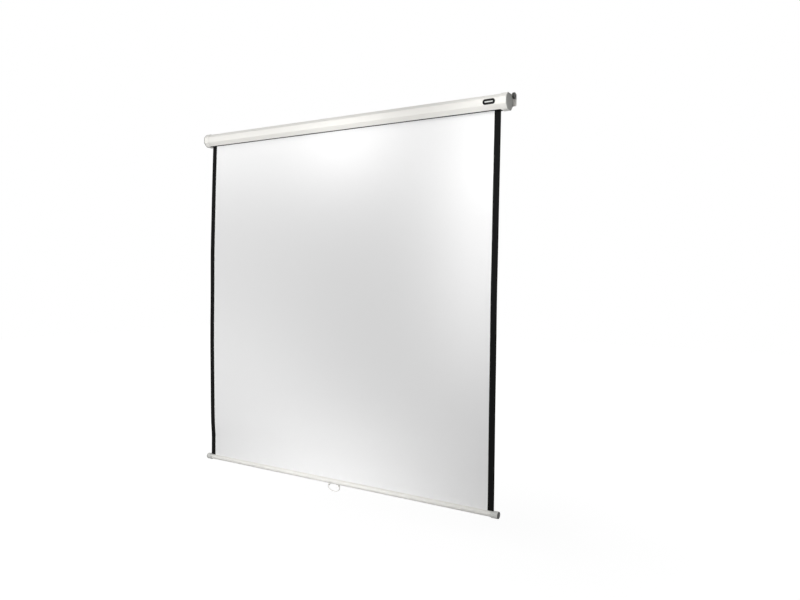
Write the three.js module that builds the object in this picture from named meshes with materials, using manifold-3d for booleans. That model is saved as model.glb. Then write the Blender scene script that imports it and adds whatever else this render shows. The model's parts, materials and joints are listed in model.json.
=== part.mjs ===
// Pull-down projection screen for a wall: a square matte sheet with black side borders on a spring
// roller in an eight-sided steel case, with a ratchet lock, a weighted bottom bar and a swinging handle.
// Millimetres. +X runs to the viewer's right, +Y into the wall and +Z up. The origin lies on the wall,
// midway between the two brackets, level with the middle of the case.
import * as THREE from "three";
import { mergeVertices } from "three/addons/utils/BufferGeometryUtils.js";
import Module from "manifold-3d";

const wasm = await Module();
wasm.setup();

// Sheet
const SHEET_WIDTH = 1600;
const SHEET_DROP = 1640; // from the underside of the case to the underside of the bar
const SHEET_THICKNESS = 0.5;
const BORDER_WIDTH = 28;
const BORDER_THICKNESS = 0.2;
const BELLY_LEFT = 15; // how far the hanging sheet bellies forward half way down, at each edge
const BELLY_RIGHT = 6;
const SHEET_ROWS = 24;
const SHEET_COLUMNS = 8;

// Fits and cuts
const CLEARANCE = 0.3;
const OVERRUN = 5;
const WELD = 1e-4;

// Case
const CASE_DEPTH = 68;
const CASE_HEIGHT = 61;
const CASE_WALL = 1.2;
const CASE_FRONT_FLAT = 26;
const CASE_BASE_FLAT = 33;
const CASE_END_ROOM = 30; // from the sheet's edge to the end of the case
const SLOT_WIDTH = 17;
const SLOT_LIP = 6;

// End caps
const CAP_WALL = 1.7;
const CAP_PLATE = 3;
const CAP_SKIRT = 26;
const CAP_RIM_DEPTH = 1.2; // the raised rim round the outer face
const CAP_RIM_WIDTH = 2.4;
const SEAT_RING_WALL = 2;
const SEAT_RING_HEIGHT = 4;
const SEAT_RING_ROOT = 0.8; // how far the ring runs into the end plate
const EAR_THICKNESS = 3.5;
const EAR_RADIUS = 8;
const EAR_DROP = 12;
const EAR_FOOT = 8;
const EAR_LEAN = THREE.MathUtils.degToRad(22.5); // of the ear's lower edge
const CAP_SCREW_RADIUS = 1.6;
const CAP_SCREW_LENGTH = 8;
const CAP_SCREW_HEAD_RADIUS = 3.2;
const CAP_SCREW_HEAD_HEIGHT = 1.8;
const CAP_SCREW_SPACING = 16;

// Wall brackets
const WALL_GAP = 35; // from the back of the end caps to the wall
const BRACKET_WIDTH = 22;
const BRACKET_SHEET = 2;
const BRACKET_FLANGE = 8; // how far its back stands out past the outer cheek
const BRACKET_FOOT_DEPTH = 10;
const BRACKET_HEIGHT = 49;
const BRACKET_NOSE = 11; // radius of the cheeks round the bolt
const BOLT_STANDOFF = 20; // from the wall to the bolt's axis
const BOLT_RISE = 35; // from the middle of the case to the bolt's axis
const BOLT_RADIUS = 3;
const BOLT_HEAD_RADIUS = 13;
const BOLT_HEAD_THICKNESS = 9;
const BOLT_HEAD_FILLET = 2;
const BOLT_HEAD_PROUD = 3.6; // how far it stands out past the end cap
const NUT_WIDTH = 10;
const NUT_THICKNESS = 5;
const KEYHOLE_HEAD_RADIUS = 4.8;
const KEYHOLE_NECK_RADIUS = 2.7;
const KEYHOLE_RISE = 12; // from the bracket's foot to the middle of the round opening
const KEYHOLE_LENGTH = 8;
const WALL_HOLE_RISE = 35;
const WALL_HOLE_RADIUS = 2.7;

// Nameplate
const PLATE_LENGTH = 52;
const PLATE_HEIGHT = 18;
const PLATE_THICKNESS = 1.2;
const PLATE_CORNER_SHARE = 0.47; // of its height, the radius of its corners
const PLATE_RIM_SHARE = 0.29; // of its height, the width of the ring round its inlay
const PLATE_RIM_HEIGHT = 0.6;
const PLATE_INSET = 73; // from the outer face of the end cap to the middle of the plate
const PLATE_CORNER_STEPS = 5;

// Roller
const TUBE_RADIUS = 12.5;
const TUBE_WALL = 1;
const TUBE_END = 6; // how far the tube runs past the sheet's edges
const ROLLER_SETBACK = 11; // from the middle of the case back to the roller's axis
const WRAPS = 2; // turns of sheet left on the tube when it is fully down
const WRAP_STEPS = 24;
const PLUG_LENGTH = 24;
const PLUG_FLANGE = 2.5;
const GUDGEON_RADIUS = 3.5;
const BEARING_RADIUS = 13;
const BEARING_FLANGE = 3;
const BEARING_BOSS_RADIUS = 8;
const BEARING_BOSS_LENGTH = 5;

// Spring motor
const SPINDLE_RADIUS = 3.5;
const SPINDLE_FLATS = 4.6; // across the flats of the outer end
const SPINDLE_LENGTH = 76;
const SPINDLE_BLADE = 8.4;
const ANCHOR_RADIUS = 10;
const ANCHOR_LENGTH = 14;
const WIRE_RADIUS = 0.9;
const COIL_RADIUS = 8.6;
const COIL_TURNS = 36;
const COIL_LENGTH = 240;
const COIL_STEPS = 8;
const COIL_SIDES = 5;
const CORE_RADIUS = 5;

// Ratchet lock
const HUB_RADIUS = 15.3;
const HUB_WALL = 2;
const HUB_FLOOR = 3;
const HUB_DEPTH = 12;
const RATCHET_RADIUS = 6.6;
const RATCHET_ROOT = 4.9;
const RATCHET_THICKNESS = 5;
const RATCHET_NOTCHES = 2;
const NOTCH_RAMP = THREE.MathUtils.degToRad(62);
const PAWL_PIVOT_RADIUS = 10.1;
const PAWL_BOSS_RADIUS = 2.4;
const PAWL_PIN_RADIUS = 1.2;
const PAWL_PIN_HEAD = 2;
const PAWL_ARM_WIDTH = 2.3;
const PAWL_THICKNESS = 4.4;
const PAWL_SWEEP = THREE.MathUtils.degToRad(55);
const PAWL_THROW = THREE.MathUtils.degToRad(25);
const PAWL_LEAD = THREE.MathUtils.degToRad(145); // where the upper pawl's pivot sits round the axis

// Bottom bar
const BAR_RADIUS = 12;
const BAR_WALL = 1.5;
const BAR_SLIT = 2.5;
const HEM_ROD_RADIUS = 3.5;
const BAR_CAP_RADIUS = 15;
const BAR_CAP_OVERLAP = 13; // how far the caps reach in over the bar
const BAR_CAP_REACH = 20; // how far they stand out past it
const BAR_CAP_WALL = 3;
const BAR_CAP_FLARE = 4;
const BAR_CAP_EDGE = 0.8;
const BAR_PLUG_RADIUS = 14.2;
const BAR_PLUG_CROWN = 2.6;
const BAR_PLUG_EDGE = 1.3; // of the crown, stands straight as a rim
const BAR_PLUG_STEPS = 4;
const BAR_PLUG_STEM_RADIUS = 8;
const BAR_PLUG_STEM_LENGTH = 6;

// Pull handle
const LUG_SPACING = 56;
const LUG_THICKNESS = 4;
const LUG_DROP = 6.5; // from the underside of the bar to the handle's pivot
const LUG_RADIUS = 4.4;
const LUG_SADDLE = 2;
const LUG_SADDLE_LENGTH = 14;
const LUG_SADDLE_WIDTH = 11;
const RIVET_SETBACK = 4.7; // from the lug's inner face to the rivet's middle
const RIVET_RADIUS = 1.4;
const RIVET_HEAD_RADIUS = 2.6;
const RIVET_HEAD_HEIGHT = 1.2;
const HANDLE_WIRE_RADIUS = 2.1;
const HANDLE_STUB = 6;
const HANDLE_BEND = 4.5;
const HANDLE_LEG = 7;
const HANDLE_DEPTH = 27; // from the pivot to the middle of the grip
const HANDLE_LEG_SHARE = 0.72; // of its depth, how far down a leg pulls the curve of the grip
const HANDLE_GRIP_SHARE = 0.62; // of its half width, how far out the grip pulls it

// Fineness of round surfaces
const ROUND_SIDES = 28;
const SMALL_SIDES = 12;
const WIRE_SIDES = 8;
const HANDLE_STEPS = 36;

// Derived sizes
const CAP_GROWTH = CLEARANCE + CAP_WALL;
const CASE_HALF = SHEET_WIDTH / 2 + CASE_END_ROOM;
const CASE_Y = -(WALL_GAP + CAP_GROWTH + CASE_DEPTH / 2);
const CASE_LEAN = Math.atan2(CASE_HEIGHT - CASE_FRONT_FLAT, CASE_DEPTH - CASE_BASE_FLAT);
const CAP_INNER = CASE_HALF + CLEARANCE; // the end plate's inner face
const CAP_OUTER = CAP_INNER + CAP_PLATE;
const CAP_TOP = CASE_HEIGHT / 2 + CAP_GROWTH;
const BRACKET_OUTER = CAP_OUTER + BOLT_HEAD_PROUD - BOLT_HEAD_THICKNESS - CLEARANCE;
const BRACKET_INNER = BRACKET_OUTER - BRACKET_WIDTH;
const BRACKET_MIDDLE = (BRACKET_OUTER + BRACKET_INNER) / 2;
const BRACKET_BOTTOM = BOLT_RISE + BRACKET_NOSE - BRACKET_HEIGHT;
const ROLLER_Y = CASE_Y + ROLLER_SETBACK;
const WRAP_PITCH = SHEET_THICKNESS + CLEARANCE;
const ROLL_RADIUS = TUBE_RADIUS + CLEARANCE + WRAPS * WRAP_PITCH; // inside of the outermost turn
const SHEET_Y = ROLLER_Y - ROLL_RADIUS - SHEET_THICKNESS / 2;
const TUBE_HALF = SHEET_WIDTH / 2 + TUBE_END;
const TUBE_BORE = TUBE_RADIUS - TUBE_WALL;
const BEARING_FACE = CAP_INNER - CLEARANCE; // outer face of the roller's two end bearings
const BOSS_FACE = BEARING_FACE - BEARING_FLANGE - BEARING_BOSS_LENGTH;
const HUB_BACK = TUBE_HALF + CLEARANCE;
const HUB_CUP = HUB_RADIUS - HUB_WALL;
const HUB_RIM = HUB_BACK + HUB_FLOOR + HUB_DEPTH;
const RATCHET_START = HUB_BACK + HUB_FLOOR + (HUB_DEPTH - RATCHET_THICKNESS) / 2;
const PAWL_START = RATCHET_START + (RATCHET_THICKNESS - PAWL_THICKNESS) / 2;
const SPINDLE_END = BEARING_FACE - CLEARANCE;
const SPINDLE_START = SPINDLE_END - SPINDLE_LENGTH;
const FIXED_ANCHOR_START = SPINDLE_START - CLEARANCE;
const COIL_END = FIXED_ANCHOR_START - CLEARANCE;
const COIL_START = COIL_END - COIL_LENGTH;
const MOVING_ANCHOR_END = COIL_START - CLEARANCE;
const CASE_BASE = -CASE_HEIGHT / 2;
const BAR_Z = CASE_BASE - SHEET_DROP + BAR_RADIUS;
const BAR_BORE = BAR_RADIUS - BAR_WALL;
const SLEEVE_BORE = HEM_ROD_RADIUS + CLEARANCE;
const SLEEVE_RADIUS = SLEEVE_BORE + SHEET_THICKNESS;
const HEM_RISE = BAR_BORE - CLEARANCE - SLEEVE_RADIUS; // the hem hangs against the top of the bar's bore
const BAR_CAP_END = SHEET_WIDTH / 2 + BAR_CAP_REACH;
const LEG_OFFSET = LUG_SPACING / 2 + LUG_THICKNESS / 2 + CLEARANCE + HANDLE_WIRE_RADIUS;

// Solids and boolean work
const ALONG_X = new THREE.Matrix4().makeBasis(
  new THREE.Vector3(0, 1, 0),
  new THREE.Vector3(0, 0, 1),
  new THREE.Vector3(1, 0, 0),
);

function toSolid(geometry) {
  const bare = geometry.clone();
  bare.deleteAttribute("normal");
  bare.deleteAttribute("uv");
  const merged = mergeVertices(bare, WELD);
  return new wasm.Manifold(
    new wasm.Mesh({
      numProp: 3,
      vertProperties: merged.attributes.position.array,
      triVerts: new Uint32Array(merged.index.array),
    }),
  );
}

function toGeometry(solid) {
  const mesh = solid.getMesh();
  const positions = new THREE.BufferAttribute(new Float32Array(mesh.vertProperties), mesh.numProp);
  const geometry = new THREE.BufferGeometry();
  geometry.setAttribute("position", positions);
  geometry.setIndex(new THREE.BufferAttribute(new Uint32Array(mesh.triVerts), 1));
  geometry.computeVertexNormals();
  return geometry;
}

function joined(geometries) {
  return geometries.map(toSolid).reduce((whole, next) => whole.add(next));
}

function cut(body, cutters) {
  return cutters.map(toSolid).reduce((rest, cutter) => rest.subtract(cutter), body);
}

// A flat outline in Y and Z, drawn out along X
function prismX(outline, from, to, curveSegments = SMALL_SIDES) {
  const shape = outline instanceof THREE.Shape ? outline : new THREE.Shape(outline);
  const options = { depth: to - from, bevelEnabled: false, curveSegments };
  const geometry = new THREE.ExtrudeGeometry(shape, options);
  return geometry.applyMatrix4(ALONG_X).translate(from, 0, 0);
}

// A round bar along X, Y or Z
function rodX(radius, from, to, y = 0, z = 0, sides = SMALL_SIDES) {
  const geometry = new THREE.CylinderGeometry(radius, radius, to - from, sides);
  return geometry.rotateZ(-Math.PI / 2).translate((from + to) / 2, y, z);
}

function rodY(radius, from, to, x, z, sides = SMALL_SIDES) {
  const geometry = new THREE.CylinderGeometry(radius, radius, to - from, sides);
  return geometry.translate(x, (from + to) / 2, z);
}

function rodZ(radius, from, to, x, y, sides = SMALL_SIDES) {
  const geometry = new THREE.CylinderGeometry(radius, radius, to - from, sides);
  return geometry.rotateX(Math.PI / 2).translate(x, y, (from + to) / 2);
}

function block(x, y, z) {
  const geometry = new THREE.BoxGeometry(x[1] - x[0], y[1] - y[0], z[1] - z[0]);
  return geometry.translate((x[0] + x[1]) / 2, (y[0] + y[1]) / 2, (z[0] + z[1]) / 2);
}

// A profile of [along X, radius] points, turned about the X axis
function turned(profile, side = 1, sides = ROUND_SIDES) {
  const loop = profile.map(([x, r]) => new THREE.Vector2(r, x));
  if (THREE.ShapeUtils.isClockWise(loop)) loop.reverse();
  const touchesAxis = profile.some(([, r]) => r === 0);
  const start = loop.findIndex((p, i) => p.x === 0 && loop[(i + loop.length - 1) % loop.length].x === 0);
  const ordered = touchesAxis
    ? [...loop.slice(start), ...loop.slice(0, start)]
    : [...loop, loop[0].clone()];
  const geometry = new THREE.LatheGeometry(ordered, sides);
  geometry.rotateZ(-Math.PI / 2);
  return side > 0 ? geometry : geometry.rotateY(Math.PI);
}

function span(side, from, to) {
  return side > 0 ? [from, to] : [-to, -from];
}

function circle(radius) {
  return new THREE.Shape().absarc(0, 0, radius, 0, 2 * Math.PI, false);
}

// A closed slab between two height fields over a grid of X and Z stations
function slab(xs, zs, frontAt, backAt) {
  const points = [];
  for (const surface of [frontAt, backAt])
    for (const z of zs) for (const x of xs) points.push(x, surface(x, z), z);
  const faces = [];
  const at = (layer, row, column) => (layer * zs.length + row) * xs.length + column;
  const quad = (a, b, c, d) => faces.push(a, b, c, a, c, d);
  for (let row = 0; row + 1 < zs.length; row++) {
    for (let column = 0; column + 1 < xs.length; column++) {
      const corners = (layer) => [
        at(layer, row, column),
        at(layer, row, column + 1),
        at(layer, row + 1, column + 1),
        at(layer, row + 1, column),
      ];
      const [a, b, c, d] = corners(1);
      quad(...corners(0));
      quad(a, d, c, b);
    }
    const end = xs.length - 1;
    quad(at(0, row, 0), at(0, row + 1, 0), at(1, row + 1, 0), at(1, row, 0));
    quad(at(1, row, end), at(1, row + 1, end), at(0, row + 1, end), at(0, row, end));
  }
  const last = zs.length - 1;
  for (let column = 0; column + 1 < xs.length; column++) {
    quad(at(0, 0, column + 1), at(0, 0, column), at(1, 0, column), at(1, 0, column + 1));
    quad(at(0, last, column), at(0, last, column + 1), at(1, last, column + 1), at(1, last, column));
  }
  const geometry = new THREE.BufferGeometry();
  geometry.setAttribute("position", new THREE.Float32BufferAttribute(points, 3));
  geometry.setIndex(faces);
  geometry.computeVertexNormals();
  return geometry;
}

function steps(from, to, count) {
  return Array.from({ length: count + 1 }, (_, i) => from + ((to - from) * i) / count);
}

function finish(color, roughness, metalness = 0) {
  return new THREE.MeshStandardMaterial({ color, roughness, metalness });
}

const whitePaint = () => finish(0xece9e2, 0.45);
const whitePlastic = () => finish(0xe6e4de, 0.55);
const greyPlastic = () => finish(0xb9bab6, 0.5);
const darkPlastic = () => finish(0x2c2c2b, 0.5);
const nylon = () => finish(0xdedbd0, 0.6);
const zincSteel = () => finish(0xb4b6b8, 0.4, 1);
const springSteel = () => finish(0x7c7e80, 0.35, 1);
const coreWood = () => finish(0xb08d5f, 0.7);
const clothFace = () => finish(0xf2f2f0, 0.9);
const borderInk = () => finish(0x101010, 0.85);

function piece(name, shape, material) {
  const geometry = shape.isBufferGeometry ? shape : toGeometry(shape);
  const mesh = new THREE.Mesh(geometry, material);
  mesh.name = name;
  return mesh;
}

function groupAt(x, y, z, ...children) {
  const group = new THREE.Group();
  group.position.set(x, y, z);
  if (children.length) group.add(...children);
  return group;
}

// The case's eight-sided outline, grown outwards, from its lower front corner round to its lower back one
function octagon(grow) {
  const depth = CASE_DEPTH / 2 + grow;
  const height = CASE_HEIGHT / 2 + grow;
  const base = CASE_BASE_FLAT / 2 + grow * Math.tan(CASE_LEAN / 2);
  const front = CASE_FRONT_FLAT / 2 + grow * Math.tan((Math.PI / 2 - CASE_LEAN) / 2);
  const quarter = [
    [base, height],
    [depth, front],
  ];
  const upper = quarter.map(([y, z]) => new THREE.Vector2(y, z));
  const mirrored = (points, y, z) => points.map((p) => new THREE.Vector2(p.x * y, p.y * z));
  return [
    ...mirrored(upper, -1, -1),
    ...mirrored(upper, -1, 1).reverse(),
    ...mirrored(upper, 1, 1),
    ...mirrored(upper, 1, -1).reverse(),
  ];
}

// Case: a roll-formed tube with a slot underneath, whose edges turn up inside
function caseOutline() {
  const front = SHEET_Y - CASE_Y - SLOT_WIDTH / 2;
  const back = front + SLOT_WIDTH;
  const lipTop = CASE_BASE + SLOT_LIP;
  const floor = CASE_BASE + CASE_WALL;
  const corner = (y, z) => new THREE.Vector2(y, z);
  return [
    corner(front, CASE_BASE),
    ...octagon(0),
    corner(back, CASE_BASE),
    corner(back, lipTop),
    corner(back + CASE_WALL, lipTop),
    corner(back + CASE_WALL, floor),
    ...octagon(-CASE_WALL).reverse(),
    corner(front - CASE_WALL, floor),
    corner(front - CASE_WALL, lipTop),
    corner(front, lipTop),
  ];
}

function capScrewPlaces(side) {
  const x = side * (CAP_INNER - CAP_SKIRT / 2);
  return [-CAP_SCREW_SPACING / 2, CAP_SCREW_SPACING / 2].map((y) => [x, y]);
}

function capScrewHoles(side) {
  const radius = CAP_SCREW_RADIUS + CLEARANCE;
  const depth = CAP_TOP - CAP_SCREW_LENGTH;
  return capScrewPlaces(side).map(([x, y]) => rodZ(radius, depth, CAP_TOP + OVERRUN, x, y));
}

function makeCaseShell() {
  const shell = toSolid(prismX(caseOutline(), -CASE_HALF, CASE_HALF));
  const holes = [...capScrewHoles(-1), ...capScrewHoles(1)];
  return piece("case_shell", cut(shell, holes), whitePaint());
}

// End caps: an eight-sided cup over each end, with two ears behind it that the wall bracket holds
function earOutline() {
  const boltY = -BOLT_STANDOFF - CASE_Y;
  const rear = CASE_DEPTH / 2 + CAP_GROWTH;
  const topCorner = octagon(CAP_GROWTH)[4];
  const outline = new THREE.Shape();
  outline.moveTo(0, -EAR_DROP);
  outline.lineTo(rear + EAR_FOOT, -EAR_DROP);
  outline.absarc(boltY, BOLT_RISE, EAR_RADIUS, -EAR_LEAN, Math.PI / 2, false);
  outline.lineTo(topCorner.x, topCorner.y - CAP_WALL / 2);
  outline.closePath();
  return outline;
}

function earSpans() {
  const outer = BRACKET_OUTER - BRACKET_SHEET - CLEARANCE;
  const inner = BRACKET_INNER + BRACKET_SHEET + CLEARANCE;
  return [
    [inner, inner + EAR_THICKNESS],
    [outer - EAR_THICKNESS, outer],
  ];
}

function makeEndCap(side, name) {
  const skirtEnd = CAP_INNER - CAP_SKIRT;
  const body = joined([
    prismX(octagon(CAP_GROWTH), ...span(side, skirtEnd, CAP_OUTER)),
    ...earSpans().map((ends) => prismX(earOutline(), ...span(side, ...ends))),
  ]);
  const recess = octagon(CAP_GROWTH - CAP_RIM_WIDTH);
  const hollow = cut(body, [
    prismX(octagon(CLEARANCE), ...span(side, skirtEnd - OVERRUN, CAP_INNER)),
    prismX(recess, ...span(side, CAP_OUTER - CAP_RIM_DEPTH, CAP_OUTER + OVERRUN)),
  ]);
  const ringBore = BEARING_RADIUS + CLEARANCE;
  const ring = new THREE.Shape().absarc(ROLLER_SETBACK, 0, ringBore + SEAT_RING_WALL, 0, 2 * Math.PI);
  ring.holes.push(new THREE.Path().absarc(ROLLER_SETBACK, 0, ringBore, 0, 2 * Math.PI, true));
  const ringSpan = span(side, CAP_INNER - SEAT_RING_HEIGHT, CAP_INNER + SEAT_RING_ROOT);
  const seated = hollow.add(toSolid(prismX(ring, ...ringSpan)));
  const boltHole = rodX(
    BOLT_RADIUS + CLEARANCE,
    ...span(side, BRACKET_INNER, BRACKET_OUTER),
    -BOLT_STANDOFF - CASE_Y,
    BOLT_RISE,
  );
  return piece(name, cut(seated, [boltHole, ...capScrewHoles(side)]), whitePlastic());
}

function makeCapScrew(name) {
  const profile = [
    [-CAP_SCREW_LENGTH + CLEARANCE, 0],
    [-CAP_SCREW_LENGTH + CLEARANCE, CAP_SCREW_RADIUS],
    [CLEARANCE, CAP_SCREW_RADIUS],
    [CLEARANCE, CAP_SCREW_HEAD_RADIUS],
    [CLEARANCE + CAP_SCREW_HEAD_HEIGHT / 2, CAP_SCREW_HEAD_RADIUS],
    [CLEARANCE + CAP_SCREW_HEAD_HEIGHT, CAP_SCREW_HEAD_RADIUS / 2],
    [CLEARANCE + CAP_SCREW_HEAD_HEIGHT, 0],
  ];
  const upright = turned(profile, 1, SMALL_SIDES).rotateY(-Math.PI / 2);
  return piece(name, upright, zincSteel());
}

// Wall brackets: a folded steel channel whose cheeks take the end cap's ears on one bolt
function cheekOutline() {
  const outline = new THREE.Shape();
  outline.moveTo(0, BRACKET_BOTTOM);
  outline.lineTo(0, BOLT_RISE + BRACKET_NOSE);
  outline.absarc(-BOLT_STANDOFF, BOLT_RISE, BRACKET_NOSE, Math.PI / 2, Math.PI, false);
  outline.lineTo(-BRACKET_FOOT_DEPTH, BRACKET_BOTTOM);
  outline.closePath();
  return outline;
}

function makeWallBracket(side, name) {
  const [inner, outer] = [BRACKET_INNER, BRACKET_OUTER];
  const height = [BRACKET_BOTTOM, BOLT_RISE + BRACKET_NOSE];
  const folded = joined([
    block(span(side, inner, outer + BRACKET_FLANGE), [-BRACKET_SHEET, 0], height),
    prismX(cheekOutline(), ...span(side, inner, inner + BRACKET_SHEET)),
    prismX(cheekOutline(), ...span(side, outer - BRACKET_SHEET, outer)),
  ]);
  const x = side * BRACKET_MIDDLE;
  const through = [-BRACKET_SHEET - OVERRUN, OVERRUN];
  const keyhole = BRACKET_BOTTOM + KEYHOLE_RISE;
  const neck = [x - KEYHOLE_NECK_RADIUS, x + KEYHOLE_NECK_RADIUS];
  const holes = [
    rodY(KEYHOLE_HEAD_RADIUS, ...through, x, keyhole),
    block(neck, through, [keyhole, keyhole + KEYHOLE_LENGTH]),
    rodY(KEYHOLE_NECK_RADIUS, ...through, x, keyhole + KEYHOLE_LENGTH),
    rodY(WALL_HOLE_RADIUS, ...through, x, BRACKET_BOTTOM + WALL_HOLE_RISE),
    rodX(
      BOLT_RADIUS + CLEARANCE,
      ...span(side, inner - OVERRUN, outer + OVERRUN),
      -BOLT_STANDOFF,
      BOLT_RISE,
    ),
  ];
  return piece(name, cut(folded, holes), whitePaint());
}

function makeBracketBolt(side, name) {
  const head = BRACKET_OUTER + CLEARANCE;
  const face = head + BOLT_HEAD_THICKNESS;
  const profile = [
    [BRACKET_INNER - NUT_THICKNESS - CLEARANCE, 0],
    [BRACKET_INNER - NUT_THICKNESS - CLEARANCE, BOLT_RADIUS],
    [head, BOLT_RADIUS],
    [head, BOLT_HEAD_RADIUS],
    [face - BOLT_HEAD_FILLET, BOLT_HEAD_RADIUS],
    [face, BOLT_HEAD_RADIUS - BOLT_HEAD_FILLET],
    [face, 0],
  ];
  return piece(name, turned(profile, side), darkPlastic());
}

function makeBracketNut(side, name) {
  const outer = BRACKET_INNER - CLEARANCE;
  const hexagon = steps(0, 2 * Math.PI, 6)
    .slice(1)
    .map((a) => new THREE.Vector2(Math.cos(a), Math.sin(a)))
    .map((p) => p.multiplyScalar(NUT_WIDTH / Math.sqrt(3)));
  const shape = new THREE.Shape(hexagon);
  const bore = BOLT_RADIUS + CLEARANCE;
  shape.holes.push(new THREE.Path().absarc(0, 0, bore, 0, 2 * Math.PI, true));
  return piece(name, prismX(shape, ...span(side, outer - NUT_THICKNESS, outer)), zincSteel());
}

// Nameplate: bare, with a broad raised ring round a sunk inlay
function plateOutline(inset) {
  const x = PLATE_LENGTH / 2 - inset;
  const z = PLATE_HEIGHT / 2 - inset;
  const r = PLATE_HEIGHT * PLATE_CORNER_SHARE - inset;
  const outline = new THREE.Shape();
  outline.moveTo(x - r, -z);
  outline.absarc(x - r, r - z, r, -Math.PI / 2, 0);
  outline.absarc(x - r, z - r, r, 0, Math.PI / 2);
  outline.absarc(r - x, z - r, r, Math.PI / 2, Math.PI);
  outline.absarc(r - x, r - z, r, Math.PI, (3 * Math.PI) / 2);
  outline.closePath();
  return outline;
}

function makeNameplate() {
  const whole = PLATE_THICKNESS + PLATE_RIM_HEIGHT;
  const options = { bevelEnabled: false, curveSegments: PLATE_CORNER_STEPS };
  const plate = (inset, depth) =>
    new THREE.ExtrudeGeometry(plateOutline(inset), { depth, ...options });
  const dished = cut(toSolid(plate(0, whole)), [
    plate(PLATE_HEIGHT * PLATE_RIM_SHARE, OVERRUN).translate(0, 0, PLATE_THICKNESS),
  ]);
  const geometry = toGeometry(dished).rotateX(Math.PI / 2);
  return piece("nameplate", geometry, darkPlastic());
}

// Roller bearings: a flanged bush that seats in the ring inside each end cap
function makeBearing(side, name, hole, material) {
  const flange = BEARING_FACE - BEARING_FLANGE;
  const body = joined([
    rodX(BEARING_RADIUS, ...span(side, flange, BEARING_FACE), 0, 0, ROUND_SIDES),
    rodX(BEARING_BOSS_RADIUS, ...span(side, BOSS_FACE, BEARING_FACE), 0, 0, ROUND_SIDES),
  ]);
  return piece(name, cut(body, [hole]), material);
}

function makeRollerBush() {
  const hole = rodX(GUDGEON_RADIUS + CLEARANCE, -BEARING_FACE - OVERRUN, -BOSS_FACE + OVERRUN);
  return makeBearing(-1, "roller_bush", hole, nylon());
}

function makeSpindleHolder() {
  const radius = SPINDLE_RADIUS + CLEARANCE;
  const turn = Math.acos((SPINDLE_FLATS / 2 + CLEARANCE) / radius);
  const outline = new THREE.Shape();
  outline.absarc(0, 0, radius, turn, Math.PI - turn, false);
  outline.absarc(0, 0, radius, Math.PI + turn, 2 * Math.PI - turn, false);
  outline.closePath();
  const hole = prismX(outline, BOSS_FACE - OVERRUN, BEARING_FACE + OVERRUN);
  return makeBearing(1, "spindle_holder", hole, zincSteel());
}

// Spring motor: a fixed spindle, the torsion spring and its two anchors, and the core inside the coil
function makeSpindle() {
  const shaft = toSolid(rodX(SPINDLE_RADIUS, SPINDLE_START, SPINDLE_END));
  const blade = [SPINDLE_END - SPINDLE_BLADE, SPINDLE_END + OVERRUN];
  const reach = SPINDLE_RADIUS + OVERRUN;
  const half = SPINDLE_FLATS / 2;
  const flats = [
    block(blade, [half, reach], [-reach, reach]),
    block(blade, [-reach, -half], [-reach, reach]),
  ];
  return piece("spindle", cut(shaft, flats), zincSteel());
}

function makeFixedAnchor() {
  const bore = SPINDLE_RADIUS + CLEARANCE;
  const profile = [
    [FIXED_ANCHOR_START, 0],
    [FIXED_ANCHOR_START, ANCHOR_RADIUS],
    [FIXED_ANCHOR_START + ANCHOR_LENGTH, ANCHOR_RADIUS],
    [FIXED_ANCHOR_START + ANCHOR_LENGTH, bore],
    [SPINDLE_START - CLEARANCE / 2, bore],
    [SPINDLE_START - CLEARANCE / 2, 0],
  ];
  return piece("spring_anchor_fixed", turned(profile), zincSteel());
}

class CoilCurve extends THREE.Curve {
  // Runs straight for one wire diameter at each end and winds in between
  getPoint(t) {
    const tail = 2 * WIRE_RADIUS;
    const x = t * COIL_LENGTH;
    const wound = THREE.MathUtils.clamp((x - tail) / (COIL_LENGTH - 2 * tail), 0, 1);
    const angle = 2 * Math.PI * COIL_TURNS * wound;
    return new THREE.Vector3(
      COIL_START + x,
      COIL_RADIUS * Math.cos(angle),
      COIL_RADIUS * Math.sin(angle),
    );
  }
}

function makeTorsionSpring() {
  const section = steps(0, 2 * Math.PI, COIL_SIDES)
    .slice(1)
    .map((a) => new THREE.Vector2(Math.cos(a), Math.sin(a)).multiplyScalar(WIRE_RADIUS));
  const pitch = COIL_LENGTH / COIL_TURNS;
  console.log("torsion_spring least gap between turns", (pitch - 2 * WIRE_RADIUS).toFixed(2), "mm");
  const geometry = new THREE.ExtrudeGeometry(new THREE.Shape(section), {
    steps: COIL_TURNS * COIL_STEPS,
    extrudePath: new CoilCurve(),
  });
  return piece("torsion_spring", geometry, springSteel());
}

function makeMovingAnchor() {
  const geometry = rodX(TUBE_BORE - CLEARANCE, MOVING_ANCHOR_END - ANCHOR_LENGTH, MOVING_ANCHOR_END);
  return piece("spring_anchor_moving", geometry, nylon());
}

function makeSpringCore() {
  const geometry = rodX(CORE_RADIUS, MOVING_ANCHOR_END + CLEARANCE, FIXED_ANCHOR_START - CLEARANCE);
  return piece("spring_core", geometry, coreWood());
}

// Roller: the tube, its plugs, and the turns of sheet that stay on it
function makeRollerTube() {
  const profile = [
    [-TUBE_HALF, TUBE_BORE],
    [-TUBE_HALF, TUBE_RADIUS],
    [TUBE_HALF, TUBE_RADIUS],
    [TUBE_HALF, TUBE_BORE],
  ];
  return piece("roller_tube", turned(profile), zincSteel());
}

function makeIdlePlug() {
  const face = TUBE_HALF + CLEARANCE;
  const profile = [
    [face + PLUG_FLANGE, GUDGEON_RADIUS + CLEARANCE],
    [face + PLUG_FLANGE, TUBE_RADIUS],
    [face, TUBE_RADIUS],
    [face, TUBE_BORE - CLEARANCE],
    [face - PLUG_LENGTH, TUBE_BORE - CLEARANCE],
    [face - PLUG_LENGTH, GUDGEON_RADIUS + CLEARANCE],
  ];
  return piece("idle_plug", turned(profile, -1), nylon());
}

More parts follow.
